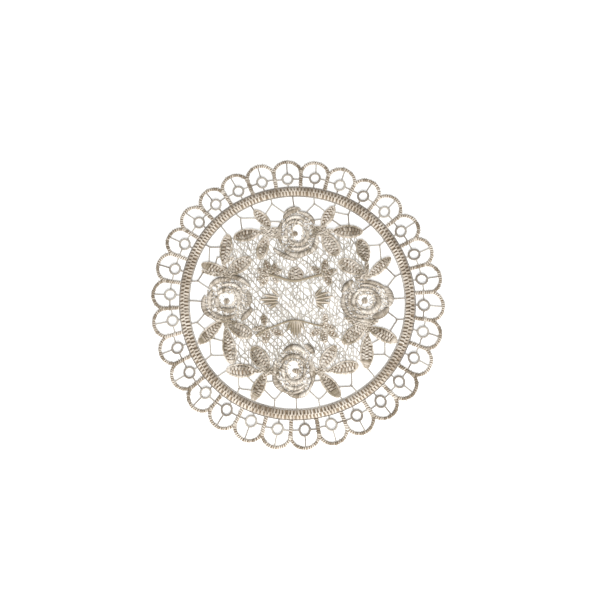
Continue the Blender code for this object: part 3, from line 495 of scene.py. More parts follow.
class Threads:
    """Closed tubes gathered into one piece: their points, four-sided faces, strand UVs and tone."""

    def __init__(self):
        self.points, self.faces, self.uvs, self.tones, self.count = [], [], [], [], 0

    def add(self, points, faces, uvs, tones):
        """Takes one batch of tubes."""
        self.points.append(points)
        self.faces.append(faces + self.count)
        self.uvs.append(uvs)
        self.tones.append(tones)
        self.count += len(points)

    def piece(self, name, material):
        """The gathered tubes as one object, at the origin, with its place in its mesh."""
        points = np.concatenate(self.points) * MM
        points[:, 2] = np.maximum(points[:, 2], 0.0)
        faces = np.concatenate(self.faces).astype(np.int32)
        mesh = bpy.data.meshes.new(name)
        mesh.vertices.add(len(points))
        mesh.vertices.foreach_set("co", points.astype(np.float32).ravel())
        mesh.loops.add(faces.size)
        mesh.loops.foreach_set("vertex_index", faces.ravel())
        mesh.polygons.add(len(faces))
        mesh.polygons.foreach_set("loop_start", np.arange(0, faces.size, 4, dtype=np.int32))
        mesh.update(calc_edges=True)
        strand = mesh.uv_layers.new(name="strand")
        strand.data.foreach_set("uv", np.concatenate(self.uvs).astype(np.float32).ravel())
        tone = mesh.attributes.new("tone", "FLOAT", "POINT")
        tone.data.foreach_set("value", np.concatenate(self.tones).astype(np.float32))
        mesh.polygons.foreach_set("use_smooth", np.ones(len(faces), bool))
        mesh.update()
        mesh.materials.append(material)
        made = bpy.data.objects.new(name, mesh)
        bpy.context.scene.collection.objects.link(made)
        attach(made, "root")
        return made


def sweep(paths, wide, tall, sides=6, closed=False, plies=SMOOTH, tone=None):
    """Tubes along paths, all with the same number of points.

    A ring's point at the angle a lies wide cos(a) to the side and tall sin(a) up, both grown by
    1 + lobe cos(2a - 2 pi s / twist), where s is the length along the path: two plies that wind round.
    """
    paths = np.asarray(paths, float)
    count, rings = paths.shape[:2]
    ahead = np.roll(paths, -1, 1) - np.roll(paths, 1, 1) if closed else np.gradient(paths, axis=1)
    ahead /= np.linalg.norm(ahead, axis=2, keepdims=True)
    nexts = np.roll(paths, -1, 1) if closed else np.concatenate((paths[:, 1:], paths[:, -1:]), 1)
    steps = np.linalg.norm(nexts - paths, axis=2)
    along = np.concatenate((np.zeros((count, 1)), np.cumsum(steps, 1)), 1)
    side = np.cross(UP, ahead)
    side /= np.linalg.norm(side, axis=2, keepdims=True)
    lift = np.cross(ahead, side)
    turn = np.arange(sides) * 2 * pi / sides
    grow = 1 + plies.lobe * np.cos(2 * turn - 2 * pi * along[:, :rings, None] / plies.twist)
    wide = np.broadcast_to(wide, (count, rings))[..., None]
    tall = np.broadcast_to(tall, (count, rings))[..., None]
    points = (paths[:, :, None] + side[:, :, None] * (wide * grow * np.cos(turn))[..., None]
              + lift[:, :, None] * (tall * grow * np.sin(turn))[..., None])

    at = np.arange(count * rings * sides).reshape(count, rings, sides)
    here = at if closed else at[:, :-1]
    there = np.roll(at, -1, 1) if closed else at[:, 1:]
    faces = np.stack((here, np.roll(here, -1, 2), np.roll(there, -1, 2), there), -1).reshape(-1, 4)
    spans = here.shape[1]
    start = np.broadcast_to(along[:, :spans, None], here.shape)
    stop = np.broadcast_to(along[:, 1:spans + 1, None], here.shape)
    low = np.broadcast_to(np.arange(sides) / sides, here.shape)
    high = low + 1 / sides
    uvs = np.stack((np.stack((start, low), -1), np.stack((start, high), -1),
                    np.stack((stop, high), -1), np.stack((stop, low), -1)), -2).reshape(-1, 4, 2)
    if not closed:
        half = np.arange(sides // 2 - 1)
        cap = np.stack((half, half + 1, sides - 2 - half, sides - 1 - half), 1)
        last, first = at[:, -1][:, cap].reshape(-1, 4), at[:, 0][:, cap[:, ::-1]].reshape(-1, 4)
        faces = np.concatenate((faces, last, first))
        uvs = np.concatenate((uvs, np.zeros((len(last) + len(first), 4, 2))))
    if tone is None:
        tone = chance.random(count)
    tones = np.repeat(np.broadcast_to(tone, (count,)), rings * sides)
    return points.reshape(-1, 3), faces, uvs, tones


def raised(plan, height):
    """Points in plan with a height for each, or one for all."""
    height = np.broadcast_to(height, plan.shape[:-1])
    return np.concatenate((plan, height[..., None]), -1)


def along_path(path):
    """Length along a path at each of its points."""
    steps = np.linalg.norm(np.diff(path, axis=0), axis=1)
    return np.concatenate(([0.0], np.cumsum(steps)))


def looked_up(at, length, values):
    """Values given at a path's points, such as its places or normals, at the lengths wanted along it."""
    return np.stack([np.interp(at, length, values[:, i]) for i in range(2)], -1)


def rounded(route, passes=3):
    """A route with its corners cut off a quarter of the way along each side, some times over."""
    route = np.asarray(route, float)
    for _ in range(passes):
        near, far = route[:-1] * 0.75 + route[1:] * 0.25, route[:-1] * 0.25 + route[1:] * 0.75
        cut = np.stack((near, far), 1).reshape(-1, route.shape[1])
        route = np.concatenate((route[:1], cut[1:-1], route[-1:]))
    return route


def resampled(path, spacing, closed=False):
    """Points at even lengths along a path in plan."""
    path = np.asarray(path, float)
    if closed:
        path = np.concatenate((path, path[:1]))
    length = along_path(path)
    count = max(3, int(round(length[-1] / spacing)) + 1)
    return looked_up(np.linspace(0, length[-1], count), length, path)


def normals(path):
    """Left-hand normal at each point of a path in plan."""
    ahead = np.gradient(path, axis=0)
    ahead = ahead / np.linalg.norm(ahead, axis=1, keepdims=True)
    return np.stack((-ahead[:, 1], ahead[:, 0]), 1)


def drifting(count, step=3, steady=0.5):
    """Random shares: a steady part of each drifts over as many neighbours as a step, the rest is its own."""
    coarse = chance.random(count // step + 2)
    drift = np.interp(np.arange(count) / step, np.arange(len(coarse)), coarse)
    return (1 - steady) * chance.random(count) + steady * drift


def lowered(half, widest):
    """Share of its full height that a column has where it is narrower: the root of its share of the width."""
    return np.sqrt(np.clip(half / widest, NARROWEST, 1))


def stitches(threads, path, widths, how, shift=0.0):
    """Short threads across a column, in groups with a gap between.

    The thread at the length s crosses from v = -1 to v = 1: its point lies v half-widths off the path at
    s + slant v / 2, at the height base + crown (1 - v^2), where the crown shrinks with the column's width.
    A group's threads lie side by side in its middle and part by spread |v| towards its ends.
    """
    path = np.asarray(path, float)
    widths = np.broadcast_to(np.asarray(widths, float), len(path))
    length = along_path(path)
    groups = max(1, int(round(length[-1] / how.pitch)))
    middle = (np.arange(groups) + 0.5 + shift) * length[-1] / groups
    middle = middle + chance.normal(0, GROUP_STRAY * how.pitch, groups)
    beside = np.arange(how.strands) - (how.strands - 1) / 2
    v = np.linspace(-1, 1, how.rings)
    apart = beside[:, None] * how.thread * (THREAD_STEP + how.spread * np.abs(v))
    at = (middle[:, None, None] + apart + how.slant * v / 2).reshape(-1, how.rings)
    at = np.clip(at, 0, length[-1])
    half = np.interp(at, length, widths) / 2
    ends = chance.normal(0, how.ragged, (len(at), 2))
    reach = half + np.where(v < 0, ends[:, :1], ends[:, 1:]) * np.abs(v)
    plan = looked_up(at, length, path) + looked_up(at, length, normals(path)) * (v * reach)[..., None]
    crown = how.crown * lowered(half, widths.max() / 2)
    height = how.base + crown * (1 - v ** 2) + chance.normal(0, THREAD_STRAY, (len(at), 1))
    wide = how.thread / 2 * np.broadcast_to(1 - THREAD_TAPER * v ** 6, at.shape)
    tone = np.repeat(drifting(groups) * how.shade, how.strands)
    threads.add(*sweep(raised(plan, height), wide, wide * THREAD_HEIGHT, tone=tone))


def underlay(threads, path, widths, crown, base=0.0, closed=False, sides=6, tone=0.5):
    """Padding under a column of stitches: a low rounded bar, flat below, in thread whose brown is painted
    shade.
    """
    path = np.asarray(path, float)
    half = np.broadcast_to(np.asarray(widths, float), len(path)) / 2
    tall = crown * lowered(half, half.max())
    route = raised(path, PADDING_MIDDLE + base)
    threads.add(*sweep(route[None], half[None] * PADDING_INSET, tall[None], sides, closed, tone=tone))


def column(satin, ground, path, widths, how):
    """A column of stitches over its padding, whose painted shade, with the real shade, darkens the gaps
    between the pairs.
    """
    height = how.crown * PADDING_HEIGHTS[0] + how.base * PADDING_HEIGHTS[1]
    underlay(ground, path, np.asarray(widths, float) * PADDING_WIDTH, height)
    stitches(satin, path, widths, how)


def cord(threads, path, width, height=None, closed=False, sides=6, plies=CORD_PLIES, spacing=0.42, tone=None):
    """A cord of two plies along a path in plan, resting on the surface or raised to its own height."""
    plan = resampled(path, spacing, closed)
    if closed:
        plan = plan[:-1]
    tall = width / 2 * CORD_HEIGHT
    route = raised(plan, tall if height is None else height)
    threads.add(*sweep(route[None], width / 2, tall, sides, closed, plies, tone))


def knots(threads, places, width, height, base=0.0):
    """Small round lumps of thread: short tubes whose radius is a half circle's."""
    places = np.asarray(places, float).reshape(-1, 2)
    rings, end = 4, 0.2
    turn = np.linspace(end, pi - end, rings)
    heading = chance.random(len(places))[:, None] * 2 * pi
    x = places[:, :1] - np.cos(turn) * np.cos(heading) * width / 2
    y = places[:, 1:] - np.cos(turn) * np.sin(heading) * width / 2
    wide = np.broadcast_to(np.sin(turn) * width / 2, x.shape)
    threads.add(*sweep(raised(np.stack((x, y), -1), base + height / 2), wide, wide * height / width))


def polar(radius, angle):
    """Point at a radius and an angle in degrees about the doily's middle; arrays give rows."""
    angle = np.radians(angle)
    return np.stack((radius * np.cos(angle), radius * np.sin(angle)), -1)


# --- The border ---------------------------------------------------------------------------------------------

def waved(waves, angle):
    """Sum of waves at an angle in degrees: each is size cos(waves angle + phase)."""
    return sum(wave.size * np.cos(np.radians(wave.waves * angle + wave.phase)) for wave in waves)


def laid(radius, angle):
    """Point of the border, moved out and round by the waves of its uneven laying, which grow outwards."""
    radius, angle = np.asarray(radius, float), np.asarray(angle, float)
    outward = waved(OUTWARD_WAVES, angle) * (radius / BAND_RADIUS) ** WAVE_POWER
    along = waved(ROUND_WAVES, angle)
    return polar(radius + outward, angle + np.degrees(along / RING_CENTRE_RADIUS))


def scallop_arch(middle_angle):
    """An arch: its radius rises from its feet to its apex as a power of a sine."""
    turn = np.linspace(0, pi, 60)
    radius = ARCH_FOOT_RADIUS + (APEX_RADIUS - ARCH_FOOT_RADIUS) * np.sin(turn) ** ARCH_POWER
    return laid(radius, middle_angle - 180.0 / SCALLOPS * np.cos(turn))


def border(satin, cords, ground):
    """The scallops: arches and legs in satin stitch, and in each a small ring held by four spokes."""
    half_pitch = 180.0 / SCALLOPS
    for i in range(SCALLOPS):
        angle = FIRST_SCALLOP_ANGLE + 2 * half_pitch * i
        arch = resampled(scallop_arch(angle), ROUTE_STEP)
        widths = ARCH_WIDTH * (1 - ARCH_SWING / 2 + ARCH_SWING * drifting(len(arch)))
        column(satin, ground, arch, widths, ARCH_STITCH)
        leg_radii = np.array((BAND_OUTER_CORD - LEG_OVERLAP[0], ARCH_FOOT_RADIUS + LEG_OVERLAP[1]))
        leg = laid(leg_radii, np.full(2, angle + half_pitch))
        column(satin, ground, resampled(leg, LEG_STEP), LEG_WIDTH, LEG_STITCH)
        small_ring(cords, angle, half_pitch)


def small_ring(cords, angle, half_pitch):
    """A scallop's small ring, a little out of round and astray, with its four spokes and their knots."""
    radius = RING_CENTRE_RADIUS + chance.normal(0, RING_WANDER[0])
    turn = angle + degrees(chance.normal(0, RING_WANDER[1]) / RING_CENTRE_RADIUS)
    middle = laid(radius, turn)
    way, across = polar(1.0, turn), polar(1.0, turn + 90)
    lap = np.linspace(0, 2 * pi, 48, endpoint=False)
    squeeze = 1 + RING_OVAL * np.cos(2 * lap + chance.random() * PHASES)
    outward, sideways = np.cos(lap) * squeeze * RING_STRETCH, np.sin(lap) * squeeze
    ring = middle + RING_RADIUS * (np.outer(outward, way) + np.outer(sideways, across))
    cord(cords, ring, RING_CORD, closed=True, sides=8, plies=RING_PLIES)
    apex, foot = laid(APEX_RADIUS - APEX_SPOKE_SHORT, angle), laid(BAND_OUTER_CORD, turn)
    left = laid(radius + SIDE_SPOKE_RISE, angle + half_pitch)
    right = laid(radius + SIDE_SPOKE_RISE, angle - half_pitch)
    reach = RING_RADIUS * SPOKE_START
    starts = (middle + way * reach, middle - way * reach, middle + across * reach, middle - across * reach)
    for start, stop in zip(starts, (apex, foot, left, right)):
        bend = (start + stop) / 2 + chance.normal(0, SPOKE_BEND, 2)
        cord(cords, rounded((start, bend, stop)), SPOKE_CORD)
    knots(cords, starts, *RING_KNOT)


def band(satin, cords, ground):
    """The crowned band: two rows of V-shaped stitches whose points lock at its middle, over padding brown
    with painted shade.

    A V's two arms and a thread between them run from the middle, v = 0, to the edge, v = 1, and part on the
    way, so that a wedge of padding, dark with real and painted shade, is left between two Vs. One row is half
    a pitch on from the other.
    """
    lap = np.arange(0, 360, 1.0)
    underlay(ground, laid(BAND_RADIUS, lap), BAND_OUTER_CORD - BAND_INNER_CORD - 2 * BAND_EDGE,
             BAND_CROWN - BAND_PADDING_DROP, closed=True, sides=16, tone=1.0)
    for radius in (BAND_INNER_CORD, BAND_OUTER_CORD):
        cord(cords, laid(radius, lap), BAND_EDGE_CORD, closed=True, plies=BAND_PLIES)
    count = int(round(2 * pi * BAND_RADIUS / BAND_STITCH_PITCH))
    v = np.linspace(0.0, 1.0, 6)
    for way, edge, shift in ((-1, BAND_INNER_CORD, 0.5), (1, BAND_OUTER_CORD, 0.0)):
        half = abs(BAND_RADIUS - edge) - BAND_EDGE
        first = (np.arange(count) + shift) * 360.0 / count
        drift = chance.normal(0, BAND_STRAYS[0], (count, 1))
        lean = chance.normal(BAND_LEAN * way, BAND_LEAN, (count, 1))
        tone = BAND_TONE[0] + BAND_TONE[1] * drifting(count, *BAND_DRIFTS[0])
        part = BAND_ARM_SPREAD[0] + BAND_ARM_SPREAD[1] * drifting(count, *BAND_DRIFTS[1])[:, None]
        for arm in (-1, 0, 1):
            aside = arm * (BAND_ARM_GAP + part * BAND_STITCH_PITCH * v) + drift + lean * v
            angle = first[:, None] + np.degrees(aside / BAND_RADIUS)
            radius = (BAND_RADIUS + way * (v * half - BAND_LOCK)
                      + chance.normal(0, BAND_STRAYS[1], (count, 1)) * v)
            height = (BAND_BASE + BAND_CROWN * (1 - np.clip(v - BAND_POINT, 0, 1) ** 2)
                      + chance.normal(0, BAND_STRAYS[2], (count, 1)))
            wide = BAND_THREAD[0] + BAND_THREAD[1] * v
            satin.add(*sweep(raised(laid(radius, angle), height), wide, BAND_THREAD[2], tone=tone))


# --- The middle ---------------------------------------------------------------------------------------------

def lens_widths(count, width, blunt=0.5, least=0.4, belly=0.5):
    """Widths that swell from the ends to the belly as a power of a sine."""
    share = np.linspace(0, 1, count) ** (np.log(0.5) / np.log(belly))
    return np.maximum(np.sin(pi * share) ** blunt * width, least)


def petal_path(rose, row, count):
    """A crescent about the rose's middle, its radius a parabola through the row's three radii."""
    t = np.linspace(0, 1, count)
    bulge = 4 * (row.r_middle - (row.r_start + row.r_end) / 2)
    radius = row.r_start + (row.r_end - row.r_start) * t + bulge * t * (1 - t)
    angle = np.radians(row.start + (row.end - row.start) * t)
    return np.stack((rose.x + radius * np.cos(angle), rose.y + radius * np.sin(angle)), 1)


def oval(x, y, reach_x, reach_y, lap):
    """Points round an oval at the angles given by lap."""
    return np.stack((x + reach_x * np.cos(lap), y + reach_y * np.sin(lap)), -1)


def roses(satin, loose, cords, ground):
    """Petals in satin stitch with dark rims of painted shade, on a web of loose threads round an open eye
    with its stamen.
    """
    count = 40
    for name, rose in ROSES.items():
        for row in PETALS[name]:
            path = petal_path(rose, row, count)
            widths = lens_widths(count, row.width * PETAL_FULLNESS, least=0.6)
            crown = PETAL_STITCH.crown + PETAL_CROWN_RISE * row.width
            # the wider padding leaves a dark rim of painted shade round the petal
            underlay(ground, path, widths + PETAL_RIM, *PETAL_PADDING, tone=0.2)
            # a row's light is painted sheen or painted shade in its thread's colour
            stitches(satin, path, widths, PETAL_STITCH._replace(crown=crown, shade=row.light))
        web(loose, cords, rose)
        one = STAMENS[name]
        bend = ((one.x1 + one.x2) / 2, min(one.y1, one.y2))
        path = resampled(rounded(((one.x1, one.y1), bend, (one.x2, one.y2))), STAMEN_STEP)
        column(satin, ground, path, lens_widths(len(path), one.width, least=0.8), STAMEN_STITCH)


def between(rose, share, lap):
    """Points on the oval that lies a share of the way from a rose's eye to its edge."""
    eye = oval(rose.eye_x, rose.eye_y, rose.eye_reach_x, rose.eye_reach_y, lap)
    edge = oval(rose.x, rose.y, rose.reach_x - WEB_INSET, rose.reach_y - WEB_INSET, lap)
    return eye + (edge - eye) * np.asarray(share, float)[..., None]


def web(loose, cords, rose):
    """Thin threads out from a rose's eye, and round it rings of dashes, each a little askew, and of knots."""
    each = (WEB_SPOKES, 1)
    turn = (np.arange(WEB_SPOKES) + chance.normal(0, WEB_STRAYS[0], WEB_SPOKES)) * 2 * pi / WEB_SPOKES
    first = np.maximum(chance.uniform(*WEB_START, each), WEB_DEEPEST) * (chance.random(each) < WEB_UNEVEN)
    share = first + (1 - first) * np.linspace(0, 1, 12)
    lean = turn[:, None] + WEB_SWAY[0] * np.sin(share * WEB_SWAY[1] + chance.random(each) * PHASES)
    cords.add(*sweep(raised(between(rose, share, lean), WEB_SPOKE_HEIGHT), *WEB_SPOKE, plies=WEB_PLIES))
    lap = np.linspace(0, 2 * pi, 48, endpoint=False)
    cord(loose, between(rose, EYE_CORD_SWAY + EYE_CORD_SWAY * np.sin(3 * lap), lap), EYE_CORD, WEB_HEIGHT,
         closed=True, spacing=0.6, tone=0.6)
    eye = (rose.eye_reach_x + rose.eye_reach_y) / 2
    edge = (rose.reach_x + rose.reach_y) / 2
    for share in np.linspace(0.0, WEB_OUTERMOST, WEB_RINGS):
        radius = eye + (edge - eye) * share
        least, most = zip(WEB_SPACE, WEB_DASH)
        lengths = chance.uniform(least, most, (WEB_MOST_DASHES, 2)).ravel() / radius
        ends = chance.random() + np.cumsum(lengths)
        for start, stop in zip(ends[::2], ends[1::2]):
            if stop < 2 * pi + ends[0]:
                askew = share + chance.normal(WEB_ASKEW, WEB_ASKEW) * np.linspace(-1, 1, 8)
                dash = between(rose, askew, np.linspace(start, stop, 8))
                cord(loose, dash, WEB_CORD, WEB_HEIGHT, spacing=0.8)
        count = int(2 * pi * radius / WEB_KNOT_PITCH)
        lap = (np.arange(count) + chance.uniform(-WEB_STRAYS[1], WEB_STRAYS[1], count)) * 2 * pi / count
        knots(loose, between(rose, np.full(count, share + WEB_KNOT_SHIFT), lap), *SMALL_KNOT, base=0.2)


def leaf_path(row, count):
    """A leaf's middle line from its base to its tip."""
    share = np.linspace(0, 1, count)[:, None]
    return np.array(row[:2]) * (1 - share) + np.array(row[2:4]) * share


def leaves(satin, loose, ground):
    """Leaves: two satin edges that meet in a solid tip, and rows of open stitches over padding dark with
    painted shade between.

    The edges follow the leaf's outline, half a width of their own inside it; the rows share what lies
    between. The stitches of a row part towards its sides and stand between those of the next, so that small
    slots, dark with real and painted shade, are left in the pattern of laid bricks.
    """
    count = 40
    for row in LEAVES + (CUP,):
        path = leaf_path(row, count)
        widths = lens_widths(count, row.width, belly=row.belly)
        across = normals(path)
        underlay(ground, path, widths * LEAF_PADDING[0], LEAF_PADDING[1], tone=0.55)
        taper = np.clip(widths / row.width * LEAF_EDGE_TAPER[0], LEAF_EDGE_TAPER[1], 1)
        sides = []
        for way, edge in ((1, row.left), (-1, row.right)):
            wide = np.minimum(edge * taper * LEAF_EDGE_FULLNESS, widths * 0.5)
            centre = path + way * across * (widths - wide)[:, None] / 2
            stitches(satin, centre, wide, LEAF_EDGE_STITCH._replace(slant=way * LEAF_EDGE_STITCH.slant))
            sides.append(way * (widths / 2 - wide))
        solid = int(row.tip * count)
        if solid > 1:
            tip = slice(-solid - 1, None)
            stitches(satin, path[tip], widths[tip] * LEAF_TIP_WIDTH, LEAF_TIP_STITCH)
        left, right = sides
        rows = max(2, int(round((left - right).max() / OPEN_ROW)))
        stretch = slice(2, count - solid - 1)
        for k in range(rows):
            near = right + (left - right) * (k / rows)
            far = right + (left - right) * ((k + 1) / rows)
            centre = path + across * ((near + far) / 2)[:, None]
            span = np.maximum(far - near + OPEN_ROW_OVERLAP, 0.3)
            how = OPEN_STITCH._replace(slant=(-1) ** k * OPEN_STITCH.slant)
            stitches(loose, centre[stretch], span[stretch], how, shift=0.5 * (k % 2))


def sprigs(satin, loose, ground):
    """Branches of strands that cross and cross again, stems, small leaves, and fans of long threads."""
    for number, route in enumerate(BRANCHES):
        path = resampled(rounded(route), ROUTE_STEP)
        across, length = normals(path), along_path(path)
        # dark padding under the strands: painted shade between them
        underlay(ground, path, *BRANCH_PADDING, tone=0.3)
        for strand, threads in enumerate((satin, loose, satin)):
            turns = length / BRANCH_WAVE + number * BRANCH_PHASE + strand / 3
            wave = BRANCH_SWING * np.sin(2 * pi * turns)
            how = BRANCH_STITCH._replace(base=BRANCH_STITCH.base + BRANCH_LIFT * strand)
            stitches(threads, path + across * wave[:, None], BRANCH_STRAND, how)
        if number % 2:
            places = path[::3]
            knots(loose, places + chance.normal(0, 0.5, places.shape), *SMALL_KNOT, base=0.7)
    for route, width in zip(STEMS, STEM_WIDTHS):
        cord(satin, rounded(route), width, STEM_HEIGHT, sides=8, plies=STEM_PLIES, tone=0.0)
    for row in SWELLS:
        column(satin, ground, leaf_path(row, 20), lens_widths(20, row.width), SWELL_STITCH)
    for row in SPRIG_LEAVES:
        path = leaf_path(row, 20)
        widths = lens_widths(20, row.width, least=0.8)
        across = normals(path)
        # its padding shows painted shade between the edges
        underlay(ground, path, widths * SPRIG_PADDING[0], SPRIG_PADDING[1], tone=0.8)
        for way in (-1, 1):
            edge = path + way * across * (widths - SPRIG_EDGE)[:, None] / 2
            stitches(satin, edge, SPRIG_EDGE, SPRIG_STITCH)
            lane = resampled(path + way * across * widths[:, None] * SPRIG_LANE, SPRIG_KNOT_PITCH)[1:-1]
            knots(loose, lane + chance.normal(0, SPRIG_KNOT_STRAY, lane.shape), *SPRIG_KNOT, base=0.55)
    for row in FINGERS:
        path = leaf_path(row, 24)
        widths = lens_widths(24, row.width, blunt=0.7, least=0.9)
        # the darkest padding: painted shade between the strands of a finger
        underlay(ground, path, widths, FINGER_PADDING, tone=0.0)
        for side, width, tone in FINGER_STRANDS:
            strand = path + normals(path) * (side * (widths - FINGER_INSET) / 2)[:, None]
            height = FINGER_HEIGHTS[0] - FINGER_HEIGHTS[1] * abs(side)
            cord(satin, strand, width, height, plies=FINGER_PLIES, spacing=0.6, tone=tone)


def inside(points, outline):
    """True for each point from which a ray crosses the outline an odd number of times."""
    x, y = points[:, 0, None], points[:, 1, None]
    here, there = outline, np.roll(outline, -1, 0)
    spans = (here[:, 1] > y) != (there[:, 1] > y)
    rise = np.where(here[:, 1] == there[:, 1], 1.0, there[:, 1] - here[:, 1])
    crossing = here[:, 0] + (y - here[:, 1]) * (there[:, 0] - here[:, 0]) / rise
    return (spans & (x < crossing)).sum(1) % 2 == 1


def net(cords):
    """An uneven net: places near a slanting lattice, joined along its long strands and mostly across them."""
    outline = np.array(NET_EDGE)
    along = polar(NET_STEP, NET_ANGLE)
    upward = polar(NET_PITCH / abs(sin(radians(NET_UPRIGHT - NET_ANGLE))), NET_UPRIGHT)
    reach = np.arange(-NET_REACH, NET_REACH + 1)
    i, j = np.meshgrid(reach, reach, indexing="ij")
    knots_at = i[..., None] * along + j[..., None] * upward + chance.normal(0, NET_WANDER, i.shape + (2,))
    for k in range(len(reach)):
        for run in runs(spread_out(knots_at[:, k], 4), outline):
            cord(cords, run, NET_CORD * chance.uniform(*NET_STRAND_RANGE), NET_HEIGHTS[0], spacing=0.7)
    for further, kept in NET_LINKS:
        start = knots_at[1:-1, :-1].reshape(-1, 2)
        stop = knots_at[1 + further:len(reach) - 1 + further, 1:].reshape(-1, 2)
        chosen = (chance.random(len(start)) < kept) & inside(start, outline) & inside(stop, outline)
        for a, b in zip(start[chosen], stop[chosen]):
            bend = (a + b) / 2 + chance.normal(0, STRAND_BEND, 2)
            cord(cords, (a, bend, b), NET_CORD * NET_CROSSING, NET_HEIGHTS[1], spacing=0.9)


def spread_out(knots_at, parts):
    """A smooth line through knots: each stretch between two of them in even parts, its corners cut off."""
    share = np.arange(parts) / parts
    steps = knots_at[:-1, None] * (1 - share[:, None]) + knots_at[1:, None] * share[:, None]
    return rounded(steps.reshape(-1, 2), 1)


def runs(line, outline, least=6):
    """The stretches of a line that lie inside an outline and have more points than the least."""
    within = inside(line, outline)
    ends = np.flatnonzero(np.diff(np.concatenate(([0], within, [0]))))
    return [line[a:b] for a, b in zip(ends[::2], ends[1::2]) if b - a > least]


def bars(cords):
    """Bars of twisted cord between the band and the motifs, with a knot where they branch."""
    for route in BARS:
        route = np.array(route)
        bent = [route[0]]
        for a, b in zip(route, route[1:]):
            bent += [(a + b) / 2 + chance.normal(0, STRAND_BEND, 2), b]
        cord(cords, rounded(bent, 2), BAR_CORD, BAR_HEIGHT, sides=8)
        if len(route) > 2:
            knots(cords, route[1], *BAR_KNOT)


# --- Materials ----------------------------------------------------------------------------------------------

PATCH = 16.67  # mm, over which the thread's colour drifts
SPECK = 1.11  # mm, between specks of loose fibre, drawn coarser than real so that they show
SPECK_DEPTH = 0.2  # mm
PLY_DEPTH = 0.05  # mm
DEEP_AT, MAIN_AT, PALE_AT = 0.3, 0.5, 0.75  # where the three colours lie on the patches' noise


def linear(colour):
    """An sRGB hex colour as linear red, green, blue and alpha."""
    values = [int(colour[i:i + 2], 16) / 255 for i in (1, 3, 5)]
    return tuple(v / 12.92 if v <= 0.04045 else ((v + 0.055) / 1.055) ** 2.4 for v in values) + (1.0,)


def node(tree, kind, settings=None, **links):
    """Adds a node with its settings; each link names an input and gives its value or a node's output."""
    made = tree.nodes.new(kind)
    for name, value in (settings or {}).items():
        setattr(made, name, value)
    for name, value in links.items():
        key = int(name[1:]) if name[0] == "_" else name.replace("_", " ")
        if isinstance(value, bpy.types.NodeSocket):
            tree.links.new(value, made.inputs[key])
        else:
            made.inputs[key].default_value = value
    return made


def thread_material(name, pale, main, deep, roughness=0.6, sheen=0.15, spread=0.5):
    """Cotton thread: its colour drifts over the lace and from thread to thread, and two plies twist round it.

    The three colours run from deep to pale by the patches' noise plus spread (tone - 1/2), tone being the
    thread's own. The plies stand up by sin(2 pi plies (s / twist + u)), where s is the length along the
    thread and u the share of the way round it.
    """
    material = bpy.data.materials.new(name)
    material.use_nodes = True
    tree = material.node_tree
    shader = tree.nodes["Principled BSDF"]
    place = node(tree, "ShaderNodeTexCoord").outputs["Object"]
    tone = node(tree, "ShaderNodeAttribute", {"attribute_name": "tone"}).outputs["Fac"]
    strand = node(tree, "ShaderNodeUVMap", {"uv_map": "strand"}).outputs["UV"]

    patches = node(tree, "ShaderNodeTexNoise", Vector=place, Scale=1 / (PATCH * MM), Detail=3.0)
    share = node(tree, "ShaderNodeMath", {"operation": "MULTIPLY_ADD"}, _0=tone, _1=spread, _2=-spread / 2)
    mixed = node(tree, "ShaderNodeMath", {"operation": "ADD"}, _0=patches.outputs["Fac"], _1=share.outputs[0])
    ramp = node(tree, "ShaderNodeValToRGB", Fac=mixed.outputs[0])
    first, last = ramp.color_ramp.elements
    first.position, first.color = DEEP_AT, linear(deep)
    last.position, last.color = PALE_AT, linear(pale)
    ramp.color_ramp.elements.new(MAIN_AT).color = linear(main)
    tree.links.new(ramp.outputs["Color"], shader.inputs["Base Color"])

    specks = node(tree, "ShaderNodeTexNoise", Vector=place, Scale=1 / (SPECK * MM), Detail=2.0)
    rough = node(tree, "ShaderNodeBump", Height=specks.outputs["Fac"], Strength=0.25,
                 Distance=SPECK_DEPTH * MM)
    parts = node(tree, "ShaderNodeSeparateXYZ", Vector=strand)
    turns = node(tree, "ShaderNodeMath", {"operation": "MULTIPLY_ADD"}, _0=parts.outputs["X"],
                 _1=1 / PLY_TWIST, _2=parts.outputs["Y"])
    phase = node(tree, "ShaderNodeMath", {"operation": "MULTIPLY"}, _0=turns.outputs[0],
                 _1=2 * pi * PLY_COUNT)
    ridges = node(tree, "ShaderNodeMath", {"operation": "SINE"}, _0=phase.outputs[0])
    twisted = node(tree, "ShaderNodeBump", Height=ridges.outputs[0], Normal=rough.outputs["Normal"],
                   Strength=0.3, Distance=PLY_DEPTH * MM)
    tree.links.new(twisted.outputs["Normal"], shader.inputs["Normal"])

    shader.inputs["Roughness"].default_value = roughness
    shader.inputs["Sheen Weight"].default_value = sheen
    shader.inputs["Sheen Roughness"].default_value = 0.4
    return material


def stitched_thread():
    """Embroidery cotton: matt, from cream to grey-brown, as each thread turns to the light or away."""
    return thread_material("cotton_embroidery_thread_stitched", "#ebe3d7", "#cabdac", "#93866f", spread=0.6)


def band_thread():
    """The same cotton in the band's long even stitches: one calm cream, with less between pale and deep."""
    return thread_material("cotton_embroidery_thread_band", "#e6ddd0", "#cbbfaf", "#a39584")


def satin_thread():
    """Pearl cotton, softly twisted: the palest crowns, and a fine dark line between two threads."""
    return thread_material("cotton_pearl_thread_satin_stitch", "#efe8dd", "#cfc5b7", "#948774", spread=0.6)


def loose_thread():
    """Single threads that lie free over the padding: pale, and each of its own tone."""
    return thread_material("cotton_thread_loose_single", "#f2eadf", "#cfc4b4", "#968a78", spread=0.6)


def cord_thread():
    """Two plies twisted hard into a cord: greyer, painted shade for the shade that its grooves hold, and with
    less bloom.
    """
    return thread_material("cotton_cord_two_ply_twisted", "#b5aea3", "#9f978c", "#83796d", 0.65, 0.1)


